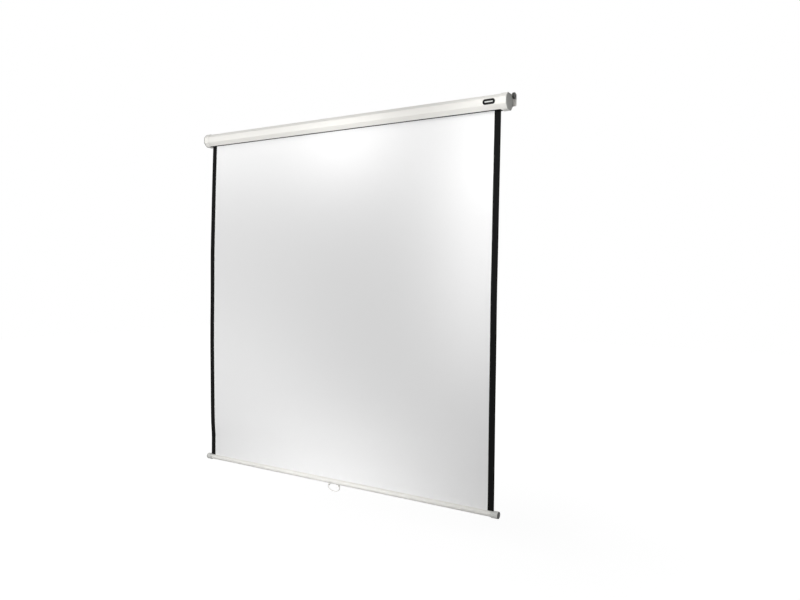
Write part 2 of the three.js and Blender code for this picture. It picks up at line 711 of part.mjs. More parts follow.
function makeGudgeonPin() {
  const inner = -TUBE_HALF + PLUG_LENGTH;
  return piece("gudgeon_pin", rodX(GUDGEON_RADIUS, -SPINDLE_END, inner), zincSteel());
}

function makeSheetRoll() {
  const angles = steps(Math.PI - 2 * Math.PI * WRAPS, Math.PI, WRAPS * WRAP_STEPS);
  const spiral = (offset) =>
    angles.map((a) => {
      const turns = (a - angles[0]) / (2 * Math.PI);
      const radius = TUBE_RADIUS + CLEARANCE + offset + WRAP_PITCH * turns;
      return new THREE.Vector2(radius * Math.cos(a), radius * Math.sin(a));
    });
  const outline = [...spiral(SHEET_THICKNESS), ...spiral(0).reverse()];
  const geometry = prismX(outline, -SHEET_WIDTH / 2, SHEET_WIDTH / 2);
  return piece("sheet_roll", geometry, clothFace());
}

// Ratchet lock: two pawls pivot in a cup on the roller, round a notched wheel on the fixed spindle
function pawlPinPlace(lead) {
  return [PAWL_PIVOT_RADIUS * Math.cos(lead), PAWL_PIVOT_RADIUS * Math.sin(lead)];
}

function makeLockHub() {
  const bore = SPINDLE_RADIUS + CLEARANCE;
  const floor = HUB_BACK + HUB_FLOOR;
  const profile = [
    [HUB_BACK - PLUG_LENGTH, bore],
    [HUB_BACK - PLUG_LENGTH, TUBE_BORE - CLEARANCE],
    [HUB_BACK, TUBE_BORE - CLEARANCE],
    [HUB_BACK, HUB_RADIUS],
    [HUB_RIM, HUB_RADIUS],
    [HUB_RIM, HUB_CUP],
    [floor, HUB_CUP],
    [floor, bore],
  ];
  const holes = [PAWL_LEAD, PAWL_LEAD + Math.PI].map((lead) =>
    rodX(PAWL_PIN_RADIUS + CLEARANCE, HUB_BACK, floor + OVERRUN, ...pawlPinPlace(lead)),
  );
  return piece("lock_hub", cut(toSolid(turned(profile)), holes), nylon());
}

function makeRatchetWheel() {
  const pitch = (2 * Math.PI) / RATCHET_NOTCHES;
  const first = PAWL_LEAD - PAWL_SWEEP;
  const outline = new THREE.Shape();
  const polar = (radius, angle) => [radius * Math.cos(angle), radius * Math.sin(angle)];
  outline.moveTo(...polar(RATCHET_ROOT, first));
  for (let notch = 0; notch < RATCHET_NOTCHES; notch++) {
    const wall = first + notch * pitch;
    const next = wall + pitch;
    outline.lineTo(...polar(RATCHET_RADIUS, wall + NOTCH_RAMP));
    outline.absarc(0, 0, RATCHET_RADIUS, wall + NOTCH_RAMP, next, false);
    outline.lineTo(...polar(RATCHET_ROOT, next));
  }
  const bore = SPINDLE_RADIUS + CLEARANCE;
  outline.holes.push(new THREE.Path().absarc(0, 0, bore, 0, 2 * Math.PI, true));
  const geometry = prismX(outline, RATCHET_START, RATCHET_START + RATCHET_THICKNESS, ROUND_SIDES / 2);
  return piece("ratchet_wheel", geometry, zincSteel());
}

function makePawl(name) {
  const ends = [PAWL_START, PAWL_START + PAWL_THICKNESS];
  const nose = RATCHET_RADIUS + CLEARANCE;
  const arm = new THREE.Shape();
  arm.absarc(0, 0, nose, -PAWL_SWEEP, 0, false);
  arm.absarc(0, 0, nose + PAWL_ARM_WIDTH, 0, -PAWL_SWEEP, true);
  arm.closePath();
  const hook = joined([
    prismX(arm, ...ends),
    rodX(PAWL_BOSS_RADIUS, ...ends, PAWL_PIVOT_RADIUS, 0),
  ]);
  const bore = rodX(
    PAWL_PIN_RADIUS + CLEARANCE,
    ends[0] - OVERRUN,
    ends[1] + OVERRUN,
    PAWL_PIVOT_RADIUS,
    0,
  );
  const solid = cut(hook, [bore]).translate([0, -PAWL_PIVOT_RADIUS, 0]);
  return piece(name, solid, zincSteel());
}

function makePawlPin(name) {
  const head = PAWL_START + PAWL_THICKNESS + CLEARANCE;
  const profile = [
    [HUB_BACK + CLEARANCE, 0],
    [HUB_BACK + CLEARANCE, PAWL_PIN_RADIUS],
    [head, PAWL_PIN_RADIUS],
    [head, PAWL_PIN_HEAD],
    [head + PAWL_PIN_RADIUS / 2, PAWL_PIN_HEAD],
    [head + PAWL_PIN_RADIUS, 0],
  ];
  return piece(name, turned(profile, 1, SMALL_SIDES), zincSteel());
}

function pawlStation(lead, thrown, pawlName, pinName) {
  const [y, z] = pawlPinPlace(lead);
  const swung = groupAt(0, 0, 0, makePawl(pawlName));
  swung.rotation.x = lead + thrown;
  return groupAt(0, y, z, swung, makePawlPin(pinName));
}

// Sheet: one hanging cloth from the roller down to the hem, with a black strip along each side
function bellyAt(x, z) {
  const top = CASE_BASE;
  const bottom = BAR_Z + BAR_RADIUS;
  const down = THREE.MathUtils.clamp((top - z) / (top - bottom), 0, 1);
  const across = (x + SHEET_WIDTH / 2) / SHEET_WIDTH;
  return THREE.MathUtils.lerp(BELLY_LEFT, BELLY_RIGHT, across) * Math.sin(Math.PI * down);
}

function sheetStations() {
  const bottom = BAR_Z + HEM_RISE + SLEEVE_RADIUS + CLEARANCE;
  return [-CLEARANCE, ...steps(CASE_BASE, BAR_Z + BAR_RADIUS, SHEET_ROWS), bottom].reverse();
}

function makeSheet() {
  const edge = SHEET_WIDTH / 2;
  const inner = edge - BORDER_WIDTH;
  const xs = [-edge, ...steps(-inner, inner, SHEET_COLUMNS), edge];
  const half = SHEET_THICKNESS / 2;
  const geometry = slab(
    xs,
    sheetStations(),
    (x, z) => -half - bellyAt(x, z),
    (x, z) => half - bellyAt(x, z),
  );
  return piece("screen_sheet", geometry, clothFace());
}

function makeBorder(side, name) {
  const edge = SHEET_WIDTH / 2;
  const face = SHEET_THICKNESS / 2 + CLEARANCE;
  const geometry = slab(
    span(side, edge - BORDER_WIDTH, edge),
    sheetStations(),
    (x, z) => -face - BORDER_THICKNESS - bellyAt(x, z),
    (x, z) => -face - bellyAt(x, z),
  );
  return piece(name, geometry, borderInk());
}

// Bottom bar: a tube slit along its top, hung on the rod in the sheet's hem
function makeBottomTube() {
  const half = BAR_SLIT / 2;
  const outerAngle = Math.asin(half / BAR_RADIUS);
  const innerAngle = Math.asin(half / BAR_BORE);
  const top = Math.PI / 2;
  const outline = new THREE.Shape();
  outline.absarc(0, 0, BAR_RADIUS, top + outerAngle, top - outerAngle + 2 * Math.PI, false);
  outline.absarc(0, 0, BAR_BORE, top - innerAngle + 2 * Math.PI, top + innerAngle, true);
  outline.closePath();
  const ends = [-SHEET_WIDTH / 2, SHEET_WIDTH / 2];
  const tube = toSolid(prismX(outline, ...ends, ROUND_SIDES));
  const holes = [-1, 1].map((side) =>
    rodZ(RIVET_RADIUS + CLEARANCE, -BAR_RADIUS - OVERRUN, -BAR_BORE + OVERRUN, rivetX(side), 0),
  );
  return piece("bottom_tube", cut(tube, holes), whitePaint());
}

function makeHemRod() {
  const end = SHEET_WIDTH / 2 - CLEARANCE;
  const geometry = rodX(HEM_ROD_RADIUS, -end, end, 0, HEM_RISE);
  return piece("hem_rod", geometry, zincSteel());
}

function makeHemSleeve() {
  const ring = circle(SLEEVE_RADIUS);
  ring.holes.push(new THREE.Path().absarc(0, 0, SLEEVE_BORE, 0, 2 * Math.PI, true));
  const end = SHEET_WIDTH / 2;
  const geometry = prismX(ring, -end, end).translate(0, 0, HEM_RISE);
  return piece("hem_sleeve", geometry, clothFace());
}

function makeBarCap(side, name) {
  const start = SHEET_WIDTH / 2 - BAR_CAP_OVERLAP;
  const bore = BAR_RADIUS + CLEARANCE;
  const wall = BAR_CAP_END - BAR_CAP_WALL;
  const hole = BAR_PLUG_STEM_RADIUS + CLEARANCE;
  const profile = [
    [start, bore],
    [start, bore + BAR_CAP_EDGE],
    [start + BAR_CAP_FLARE / 2, (bore + BAR_CAP_EDGE + BAR_CAP_RADIUS) / 2],
    [start + BAR_CAP_FLARE, BAR_CAP_RADIUS],
    [BAR_CAP_END - BAR_CAP_EDGE, BAR_CAP_RADIUS],
    [BAR_CAP_END, BAR_CAP_RADIUS - BAR_CAP_EDGE],
    [BAR_CAP_END, hole],
    [wall, hole],
    [wall, bore],
  ];
  const half = BAR_SLIT / 2;
  const slit = block(
    span(side, start - OVERRUN, SHEET_WIDTH / 2 + CLEARANCE),
    [-half, half],
    [0, BAR_CAP_RADIUS + OVERRUN],
  );
  return piece(name, cut(toSolid(turned(profile, side)), [slit]), greyPlastic());
}

function makeBarPlug(side, name) {
  const face = BAR_CAP_END + CLEARANCE;
  const dome = BAR_PLUG_CROWN - BAR_PLUG_EDGE;
  const crown = steps(0, Math.PI / 2, BAR_PLUG_STEPS).map((angle) => [
    face + BAR_PLUG_EDGE + dome * Math.sin(angle),
    BAR_PLUG_RADIUS * Math.cos(angle),
  ]);
  crown[crown.length - 1][1] = 0;
  const profile = [
    [face - BAR_PLUG_STEM_LENGTH, 0],
    [face - BAR_PLUG_STEM_LENGTH, BAR_PLUG_STEM_RADIUS],
    [face, BAR_PLUG_STEM_RADIUS],
    [face, BAR_PLUG_RADIUS],
    ...crown,
  ];
  return piece(name, turned(profile, side), darkPlastic());
}

// Handle: a bail that swings in two lugs riveted under the bar
function rivetX(side) {
  return side * (LUG_SPACING / 2 - LUG_THICKNESS / 2 - RIVET_SETBACK);
}

function makeHandleLug(side, name) {
  const seat = BAR_RADIUS + CLEARANCE;
  const spread = LUG_SADDLE_WIDTH / 2 / seat;
  const down = -Math.PI / 2;
  const saddle = new THREE.Shape();
  saddle.absarc(0, 0, seat + LUG_SADDLE, down - spread, down + spread, false);
  saddle.absarc(0, 0, seat, down + spread, down - spread, true);
  saddle.closePath();
  const ear = new THREE.Shape();
  const pivot = -BAR_RADIUS - LUG_DROP;
  const neck = -seat - LUG_SADDLE / 2;
  ear.moveTo(LUG_RADIUS, neck);
  ear.lineTo(-LUG_RADIUS, neck);
  ear.lineTo(-LUG_RADIUS, pivot);
  ear.absarc(0, pivot, LUG_RADIUS, Math.PI, 2 * Math.PI, false);
  ear.closePath();
  const outer = LUG_SPACING / 2 + LUG_THICKNESS / 2;
  const body = joined([
    prismX(saddle, ...span(side, outer - LUG_SADDLE_LENGTH, outer)),
    prismX(ear, ...span(side, outer - LUG_THICKNESS, outer)),
  ]);
  const eye = rodX(
    HANDLE_WIRE_RADIUS + CLEARANCE,
    ...span(side, outer - LUG_THICKNESS - OVERRUN, outer + OVERRUN),
    0,
    pivot,
  );
  const rivetHole = rodZ(
    RIVET_RADIUS + CLEARANCE,
    -seat - LUG_SADDLE - OVERRUN,
    -seat + OVERRUN,
    rivetX(side),
    0,
  );
  return piece(name, cut(body, [eye, rivetHole]), whitePaint());
}

function makeLugRivet(name) {
  const under = -BAR_RADIUS - CLEARANCE - LUG_SADDLE - CLEARANCE;
  const inside = -BAR_BORE + CLEARANCE;
  const profile = [
    [under - RIVET_HEAD_HEIGHT, 0],
    [under - RIVET_HEAD_HEIGHT, RIVET_HEAD_RADIUS / 2],
    [under - RIVET_HEAD_HEIGHT / 2, RIVET_HEAD_RADIUS],
    [under, RIVET_HEAD_RADIUS],
    [under, RIVET_RADIUS],
    [inside, RIVET_RADIUS],
    [inside, RIVET_HEAD_RADIUS],
    [inside + RIVET_HEAD_HEIGHT / 2, RIVET_HEAD_RADIUS],
    [inside + RIVET_HEAD_HEIGHT / 2, 0],
  ];
  const upright = turned(profile, 1, SMALL_SIDES).rotateY(-Math.PI / 2);
  return piece(name, upright, zincSteel());
}

function handlePath() {
  const at = (x, z) => new THREE.Vector3(x, 0, z);
  const half = (side) => {
    const leg = side * LEG_OFFSET;
    const stub = side * (LEG_OFFSET - HANDLE_STUB);
    const shoulder = side * (LEG_OFFSET - HANDLE_BEND / 2);
    const bend = new THREE.QuadraticBezierCurve3(at(shoulder, 0), at(leg, 0), at(leg, -HANDLE_BEND / 2));
    const sweep = new THREE.CubicBezierCurve3(
      at(leg, -HANDLE_LEG),
      at(leg, -HANDLE_DEPTH * HANDLE_LEG_SHARE),
      at(leg * HANDLE_GRIP_SHARE, -HANDLE_DEPTH),
      at(0, -HANDLE_DEPTH),
    );
    return [
      new THREE.LineCurve3(at(stub, 0), at(shoulder, 0)),
      bend,
      new THREE.LineCurve3(at(leg, -HANDLE_BEND / 2), at(leg, -HANDLE_LEG)),
      sweep,
    ];
  };
  const reversed = (curve) => {
    if (curve.isLineCurve3) return new THREE.LineCurve3(curve.v2, curve.v1);
    if (curve.isQuadraticBezierCurve3)
      return new THREE.QuadraticBezierCurve3(curve.v2, curve.v1, curve.v0);
    return new THREE.CubicBezierCurve3(curve.v3, curve.v2, curve.v1, curve.v0);
  };
  const path = new THREE.CurvePath();
  half(-1).forEach((curve) => path.add(curve));
  half(1)
    .reverse()
    .forEach((curve) => path.add(reversed(curve)));
  return path;
}

function makePullHandle() {
  const section = steps(0, 2 * Math.PI, WIRE_SIDES)
    .slice(1)
    .map((a) => new THREE.Vector2(Math.cos(a), Math.sin(a)).multiplyScalar(HANDLE_WIRE_RADIUS));
  const geometry = new THREE.ExtrudeGeometry(new THREE.Shape(section), {
    steps: HANDLE_STEPS,
    extrudePath: handlePath(),
  });
  return piece("pull_handle", geometry, whitePlastic());
}

// Assembly
const caseGroup = groupAt(
  0,
  CASE_Y,
  0,
  makeCaseShell(),
  makeEndCap(-1, "end_cap_left"),
  makeEndCap(1, "end_cap_right"),
);
for (const [side, place] of [
  [-1, "left"],
  [1, "right"],
]) {
  capScrewPlaces(side).forEach(([x, y], index) => {
    const screw = makeCapScrew(`cap_screw_${place}_${index ? "back" : "front"}`);
    screw.position.set(x, y, CAP_TOP);
    caseGroup.add(screw);
  });
}
const nameplate = makeNameplate();
nameplate.position.set(CAP_OUTER - PLATE_INSET, -CASE_DEPTH / 2 - CLEARANCE, 0);
caseGroup.add(nameplate);

const brackets = groupAt(
  0,
  0,
  0,
  makeWallBracket(-1, "wall_bracket_left"),
  makeWallBracket(1, "wall_bracket_right"),
);
const bolts = groupAt(
  0,
  -BOLT_STANDOFF,
  BOLT_RISE,
  makeBracketBolt(-1, "bracket_bolt_left"),
  makeBracketBolt(1, "bracket_bolt_right"),
  makeBracketNut(-1, "bracket_nut_left"),
  makeBracketNut(1, "bracket_nut_right"),
);

const roller = groupAt(
  0,
  ROLLER_Y,
  0,
  makeRollerBush(),
  makeSpindleHolder(),
  makeSpindle(),
  makeFixedAnchor(),
  makeTorsionSpring(),
  makeRatchetWheel(),
  makeRollerTube(),
  makeIdlePlug(),
  makeGudgeonPin(),
  makeSheetRoll(),
  makeLockHub(),
  makeMovingAnchor(),
  makeSpringCore(),
  pawlStation(PAWL_LEAD, 0, "pawl_upper", "pawl_pin_upper"),
  pawlStation(PAWL_LEAD + Math.PI, PAWL_THROW, "pawl_lower", "pawl_pin_lower"),
);

const sheet = groupAt(
  0,
  SHEET_Y,
  0,
  makeSheet(),
  makeBorder(-1, "border_left"),
  makeBorder(1, "border_right"),
);

const rivets = [-1, 1].map((side) => {
  const rivet = makeLugRivet(side < 0 ? "lug_rivet_left" : "lug_rivet_right");
  rivet.position.x = rivetX(side);
  return rivet;
});
const bar = groupAt(
  0,
  SHEET_Y,
  BAR_Z,
  makeBottomTube(),
  makeHemRod(),
  makeHemSleeve(),
  makeBarCap(-1, "bar_cap_left"),
  makeBarCap(1, "bar_cap_right"),
  makeBarPlug(-1, "bar_plug_left"),
  makeBarPlug(1, "bar_plug_right"),
  makeHandleLug(-1, "handle_lug_left"),
  makeHandleLug(1, "handle_lug_right"),
  ...rivets,
  groupAt(0, 0, -BAR_RADIUS - LUG_DROP, makePullHandle()),
);

const screen = new THREE.Group();
screen.add(caseGroup, brackets, bolts, roller, sheet, bar);

export default screen;
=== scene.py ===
"""A pull-down projection screen: finishes every piece of its frame and lights it in a plain studio."""

import json
import math
from contextlib import contextmanager

import bmesh
import bpy
from bpy.props import FloatProperty, FloatVectorProperty, IntProperty, PointerProperty
from bpy.types import Operator, Panel, PropertyGroup
from mathutils import Matrix, Vector

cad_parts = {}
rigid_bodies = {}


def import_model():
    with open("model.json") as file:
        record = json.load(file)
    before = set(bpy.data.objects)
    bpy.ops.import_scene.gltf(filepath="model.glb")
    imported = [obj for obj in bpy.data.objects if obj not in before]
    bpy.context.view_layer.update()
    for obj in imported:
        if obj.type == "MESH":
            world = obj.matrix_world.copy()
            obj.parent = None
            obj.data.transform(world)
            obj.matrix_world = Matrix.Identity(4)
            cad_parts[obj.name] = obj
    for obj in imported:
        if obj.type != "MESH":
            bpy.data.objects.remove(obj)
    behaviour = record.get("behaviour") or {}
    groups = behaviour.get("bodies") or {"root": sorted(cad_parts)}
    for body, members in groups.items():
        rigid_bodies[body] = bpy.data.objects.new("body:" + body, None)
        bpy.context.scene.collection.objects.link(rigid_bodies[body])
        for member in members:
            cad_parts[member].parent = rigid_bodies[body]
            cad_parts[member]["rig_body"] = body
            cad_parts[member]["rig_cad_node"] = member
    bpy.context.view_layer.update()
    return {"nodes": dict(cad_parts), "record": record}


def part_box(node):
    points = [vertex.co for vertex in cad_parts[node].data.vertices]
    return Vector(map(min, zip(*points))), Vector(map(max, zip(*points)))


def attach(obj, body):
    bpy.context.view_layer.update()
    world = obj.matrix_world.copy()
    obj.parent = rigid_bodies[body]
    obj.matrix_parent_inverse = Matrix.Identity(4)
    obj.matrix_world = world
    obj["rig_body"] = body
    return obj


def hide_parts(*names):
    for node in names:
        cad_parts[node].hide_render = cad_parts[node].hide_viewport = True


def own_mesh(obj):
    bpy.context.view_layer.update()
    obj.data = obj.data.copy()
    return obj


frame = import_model()

bl_info = {
    "name": "Pull-down projection screen",
    "version": (1, 0, 0),
    "blender": (4, 5, 0),
    "location": "3D View > Sidebar > Screen",
    "description": "Finishes the pieces of a wall-mounted projection screen and lights them",
    "category": "Object",
}

MM = 0.001
SAME_PLACE = 0.01 * MM  # points closer than this count as one
X, Y, Z = range(3)
SIDES = (("left", -1), ("right", 1))


# Places read from the frame

def node_points(node):
    return [vertex.co for vertex in frame["nodes"][node].data.vertices]


def span(node, axis):
    """Lowest and highest place of a node along an axis."""
    low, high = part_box(node)
    return low[axis], high[axis]


def outward_span(node, sign):
    """Inner and outer end of a node, measured from the middle of the screen towards its side."""
    return sorted(sign * at for at in span(node, X))


def middle(node, axis):
    return sum(span(node, axis)) / 2


def size(node, axis):
    low, high = span(node, axis)
    return high - low


def flat_edge(node, axis, outermost, across):
    """How far a node's lowest or highest plane along one axis reaches along another."""
    points = node_points(node)
    limit = outermost(p[axis] for p in points)
    return max(p[across] for p in points if abs(p[axis] - limit) < SAME_PLACE)


CASE_Y = middle("case_shell", Y)
CASE_HALF_LENGTH = size("case_shell", X) / 2
CASE_HALF_DEPTH = size("case_shell", Y) / 2
CASE_HALF_HEIGHT = size("case_shell", Z) / 2
FRONT_FLAT = flat_edge("case_shell", Y, min, Z)
BASE_FLAT = flat_edge("case_shell", Z, max, Y) - CASE_Y
CASE_LEAN = math.atan2(CASE_HALF_HEIGHT - FRONT_FLAT, CASE_HALF_DEPTH - BASE_FLAT)
CAP_OUTER = span("end_cap_right", X)[1]
CAP_SCREWS = [f"cap_screw_{side}_{place}" for side, _ in SIDES for place in ("front", "back")]
SHEET_Y = middle("bottom_tube", Y)
SHEET_HALF = size("screen_sheet", X) / 2
SHEET_FOOT, SHEET_TOP = span("screen_sheet", Z)
BAR_Z = middle("bottom_tube", Z)
BAR_RADIUS = size("bottom_tube", Z) / 2
BAR_TOP = BAR_Z + BAR_RADIUS
ROLLER_Y = middle("roller_tube", Y)
PLATE_TOP = span("nameplate", Z)[1]
PLATE_FLOOR = sorted({round(p.y, 6) for p in node_points("nameplate")})[1]
PLATE_RIM = PLATE_TOP - max(
    p.z for p in node_points("nameplate") if abs(p.y - PLATE_FLOOR) < SAME_PLACE)
PLATE_CORNER = PLATE_TOP - flat_edge("nameplate", X, max, Z)


# Settings that a user would change

def length_setting(name, description, value):
    return FloatProperty(name=name, description=description, default=value, unit="LENGTH")


def level_setting(name, description, value):
    return FloatProperty(name=name, description=description, default=value, min=0)


def colour_setting(name, description, value):
    return FloatVectorProperty(
        name=name, description=description, default=value, size=3, min=0, max=1, subtype="COLOR")


class CaseSettings(PropertyGroup):
    wall: length_setting("Wall", "Thickness of the case's steel", 1.2 * MM)
    bend: length_setting("Bend", "Radius of the bends between the case's flats", 2.6 * MM)
    slot: length_setting("Slot", "Width of the slot that the sheet comes out of", 17 * MM)
    lip: length_setting("Lip", "Height of the slot's turned-up edges", 6 * MM)
    paint: colour_setting("Paint", "Colour of the powder coat on the steel pieces", (0.77, 0.757, 0.722))
    plastic: colour_setting("Cap plastic", "Colour of the end caps and the handle", (0.79, 0.778, 0.742))


class CapSettings(PropertyGroup):
    edge: length_setting("Edge", "Radius of the end caps' edges", 0.6 * MM)
    plate_left: length_setting("Left plate", "Thickness of the left cap's grey outer plate", 6 * MM)
    plate_right: length_setting("Right plate", "Thickness of the right cap's grey outer plate", 2.2 * MM)
    plate_grey: colour_setting("Plate grey", "Colour of the caps' outer plates", (0.42, 0.42, 0.4))


class BarSettings(PropertyGroup):
    wall: length_setting("Wall", "Thickness of the bottom bar's tube", 1.5 * MM)
    slit: length_setting("Slit", "Width of the slit that the sheet hangs through", 1.4 * MM)
    notch_wall: length_setting("Notch wall", "What is left of an end cap under its notch", 0.5 * MM)
    end_grey: colour_setting("End grey", "Colour of the bar's end caps", (0.6, 0.6, 0.578))
    sides: IntProperty(
        name="Sides", description="Facets round the bar's turned pieces", default=64, min=16, max=128)


class SheetSettings(PropertyGroup):
    thickness: length_setting("Thickness", "Thickness of the coated cloth", 0.5 * MM)
    border: length_setting("Border", "Width of the black border down each side", 28 * MM)
    belly_left: length_setting("Left belly", "How far the left edge swells forward", 15 * MM)
    belly_right: length_setting("Right belly", "How far the right edge swells forward", 6 * MM)
    # The black band at the top of the cloth is painted shade: it stands in for the dark line of shade under
    # the case's slot.
    painted_shade_band: length_setting("Leader", "Length of the black cloth at the top", 30.4 * MM)
    held: length_setting("Held", "Length above the bar that stays flat", 80 * MM)
    release: length_setting("Release", "Length above it over which the belly starts", 100 * MM)
    ripple: length_setting("Ripple", "Height of the shallow waves beside the borders", 1.2 * MM)
    thread: length_setting("Thread", "Spacing of the threads under the coating", 0.9 * MM)
    white: colour_setting("White", "Colour of the sheet's front", (0.86, 0.86, 0.86))
    black: colour_setting("Black", "Colour of the borders and of the backing", (0.006, 0.006, 0.006))


class HandleSettings(PropertyGroup):
    wire: length_setting("Wire radius", "Radius of the handle's rod", 2.1 * MM)
    stub: length_setting("Stub", "Length of the ends that turn in the lugs", 6 * MM)
    bend: length_setting("Bend", "Length of the bend between an end and a leg", 4.5 * MM)
    leg: length_setting("Leg", "Straight length of each leg, from the pivot", 7 * MM)


class StudioSettings(PropertyGroup):
    floor_height: length_setting("Floor", "Height of the floor from the middle of the case", -2.25)
    ambient: level_setting("Ambient", "Strength of the even light from all round", 0.337)
    lamp_level: level_setting("Lamp level", "Brightness of all the lamps together", 1.0)
    floor_lift: level_setting("Floor lift", "How much whiter the floor is seen than it is lit", 0.89)
    camera_place: FloatVectorProperty(
        name="Camera place", description="Where the camera stands",
        default=(1.783, -2.5237, -0.7145), size=3, subtype="TRANSLATION")
    camera_turn: FloatVectorProperty(
        name="Camera turn", description="How the camera is turned",
        default=tuple(math.radians(a) for a in (88.27, -0.78, 30.45)), size=3, subtype="EULER")
    lens: FloatProperty(
        name="Lens", description="Focal length of the camera, in millimetres", default=29.25)


# Lamps: place, aim, width and height, watts
LAMPS = {
    "key left": ((-1.8, -2.4, -0.6), (-0.6, SHEET_Y, -0.8), (1.0, 0.4), 28.2),
    "key right": ((1.1, -3.0, -0.3), (0.3, SHEET_Y, -0.8), (1.0, 0.4), 22.3),
    "top left": ((-0.5, -0.45, 0.0), (-0.5, SHEET_Y, 0.0), (1.4, 0.2), 1.22),
    "top middle": ((0.1, -0.38, -0.06), (0.1, SHEET_Y, -0.12), (0.45, 0.06), 0.32),
    "near end high": ((0.75, -0.45, 0.3), (0.8, SHEET_Y, 0.0), (0.2, 0.2), 0.32),
    "near end": ((0.76, -0.32, 0.1), (0.76, SHEET_Y, 0.0), (0.25, 0.1), 0.18),
    "near end low": ((0.78, -0.45, -0.28), (0.78, SHEET_Y, -0.02), (0.15, 0.15), 0.44),
    "left": ((-0.9, -0.6, -1.2), (-0.9, SHEET_Y, -1.2), (1.4, 0.2), 0.64),
    "right high": ((0.76, -0.42, -0.4), (0.77, SHEET_Y, -0.4), (0.1, 0.6), 0.38),
    "right middle": ((0.74, -0.42, -0.8), (0.76, SHEET_Y, -0.8), (0.1, 0.6), 0.34),
    "foot": ((0.0, -0.6, -1.7), (0.0, SHEET_Y, -1.7), (0.6, 0.1), 0.76),
    "foot wide": ((0.0, -0.5, -1.65), (0.0, SHEET_Y, -1.7), (1.4, 0.06), 0.72),
    "side": ((2.2, 0.3, 0.0), (0.83, SHEET_Y, 0.0), (0.5, 0.5), 1.2),
}

# Waves of the cloth beside its borders: share of their height, radians down the drop and across
WAVES = ((1.0, 9.0, 4.0), (0.6, 23.0, -3.0))
EDGE_POWER = 6  # how quickly the waves fade from the edges

SETTINGS = {
    "screen_case": CaseSettings,
    "screen_cap": CapSettings,
    "screen_bar": BarSettings,
    "screen_sheet": SheetSettings,
    "screen_handle": HandleSettings,
    "screen_studio": StudioSettings,
}


def scene_settings(name):
    return getattr(bpy.context.scene, name)


# Shader node groups

class Nodes:
    """Adds nodes to a tree and links them, so that a finish reads from top to bottom."""

    def __init__(self, tree):
        self.tree = tree

    def add(self, kind, values=None, **attributes):
        node = self.tree.nodes.new(kind)
        for name, value in attributes.items():
            setattr(node, name, value)
        self.feed(node, values or {})
        return node

    def feed(self, node, values):
        """Links or sets inputs of a node, found by name or by place."""
        for key, value in values.items():
            if isinstance(value, bpy.types.NodeSocket):
                self.tree.links.new(value, node.inputs[key])
            else:
                node.inputs[key].default_value = value

    def math(self, operation, *values):
        return self.add("ShaderNodeMath", dict(enumerate(values)), operation=operation).outputs[0]

    def noise(self, vector, scale, detail=2.0, roughness=0.5):
        return self.add("ShaderNodeTexNoise", {
            "Vector": vector, "Scale": scale, "Detail": detail, "Roughness": roughness}).outputs["Fac"]

    def mix(self, factor, one, other):
        return self.add("ShaderNodeMix", {0: factor, 6: one, 7: other}, data_type="RGBA").outputs[2]

    def spread(self, value, low, high):
        """Maps 0 to 1 on to low to high."""
        node = self.add("ShaderNodeMapRange", {"Value": value, "To Min": low, "To Max": high})
        return node.outputs["Result"]

    def place(self):
        """Where a point lies in its object's own space."""
        return self.add("ShaderNodeTexCoord").outputs["Object"]


def node_group(name, tree_kind, inputs, outputs):
    """An empty node group with its sockets, and the nodes at its two ends."""
    tree = bpy.data.node_groups.new(name, tree_kind)
    for socket_name, kind, *default in inputs:
        socket = tree.interface.new_socket(socket_name, in_out="INPUT", socket_type="NodeSocket" + kind)
        if default:
            socket.default_value = default[0]
    for socket_name, kind in outputs:
        tree.interface.new_socket(socket_name, in_out="OUTPUT", socket_type="NodeSocket" + kind)
    nodes = Nodes(tree)
    return nodes, nodes.add("NodeGroupInput").outputs, nodes.add("NodeGroupOutput")


def shader_group(name, inputs, outputs):
    return node_group(name, "ShaderNodeTree", inputs, outputs)


def make_coating_group():
    """Powder coat or moulded grain: a fine bumpy skin, and the faint cloudiness of a large surface."""
    nodes, given, made = shader_group(
        "Coating",
        [
            ("Vector", "Vector"),
            ("Color", "Color", (0.8, 0.8, 0.8, 1)),
            ("Grain Size", "Float", 1 * MM),
            ("Gloss Variation", "Float", 0.06),
            ("Roughness", "Float", 0.4),
            ("Cloudiness", "Float", 0.03),
        ],
        [("Color", "Color"), ("Roughness", "Float"), ("Height", "Float")],
    )
    pits_per_grain, pit_share, clouds_per_metre = 2.7, 0.35, 9.0
    scale = nodes.math("DIVIDE", 1.0, given["Grain Size"])
    grain = nodes.noise(given["Vector"], scale, detail=3.0)
    pits = nodes.noise(given["Vector"], nodes.math("MULTIPLY", scale, pits_per_grain), detail=1.0)
    cloud = nodes.noise(given["Vector"], clouds_per_metre, detail=4.0, roughness=0.6)
    dimmed = nodes.math("SUBTRACT", 1.0, nodes.math("MULTIPLY", cloud, given["Cloudiness"]))
    tint = nodes.add("ShaderNodeVectorMath", {0: given["Color"], "Scale": dimmed}, operation="SCALE")
    swing = nodes.math("SUBTRACT", cloud, 0.5)
    nodes.feed(made, {
        "Color": tint.outputs[0],
        "Roughness": nodes.math("MULTIPLY_ADD", swing, given["Gloss Variation"], given["Roughness"]),
        "Height": nodes.math("MULTIPLY_ADD", pits, pit_share, grain),
    })


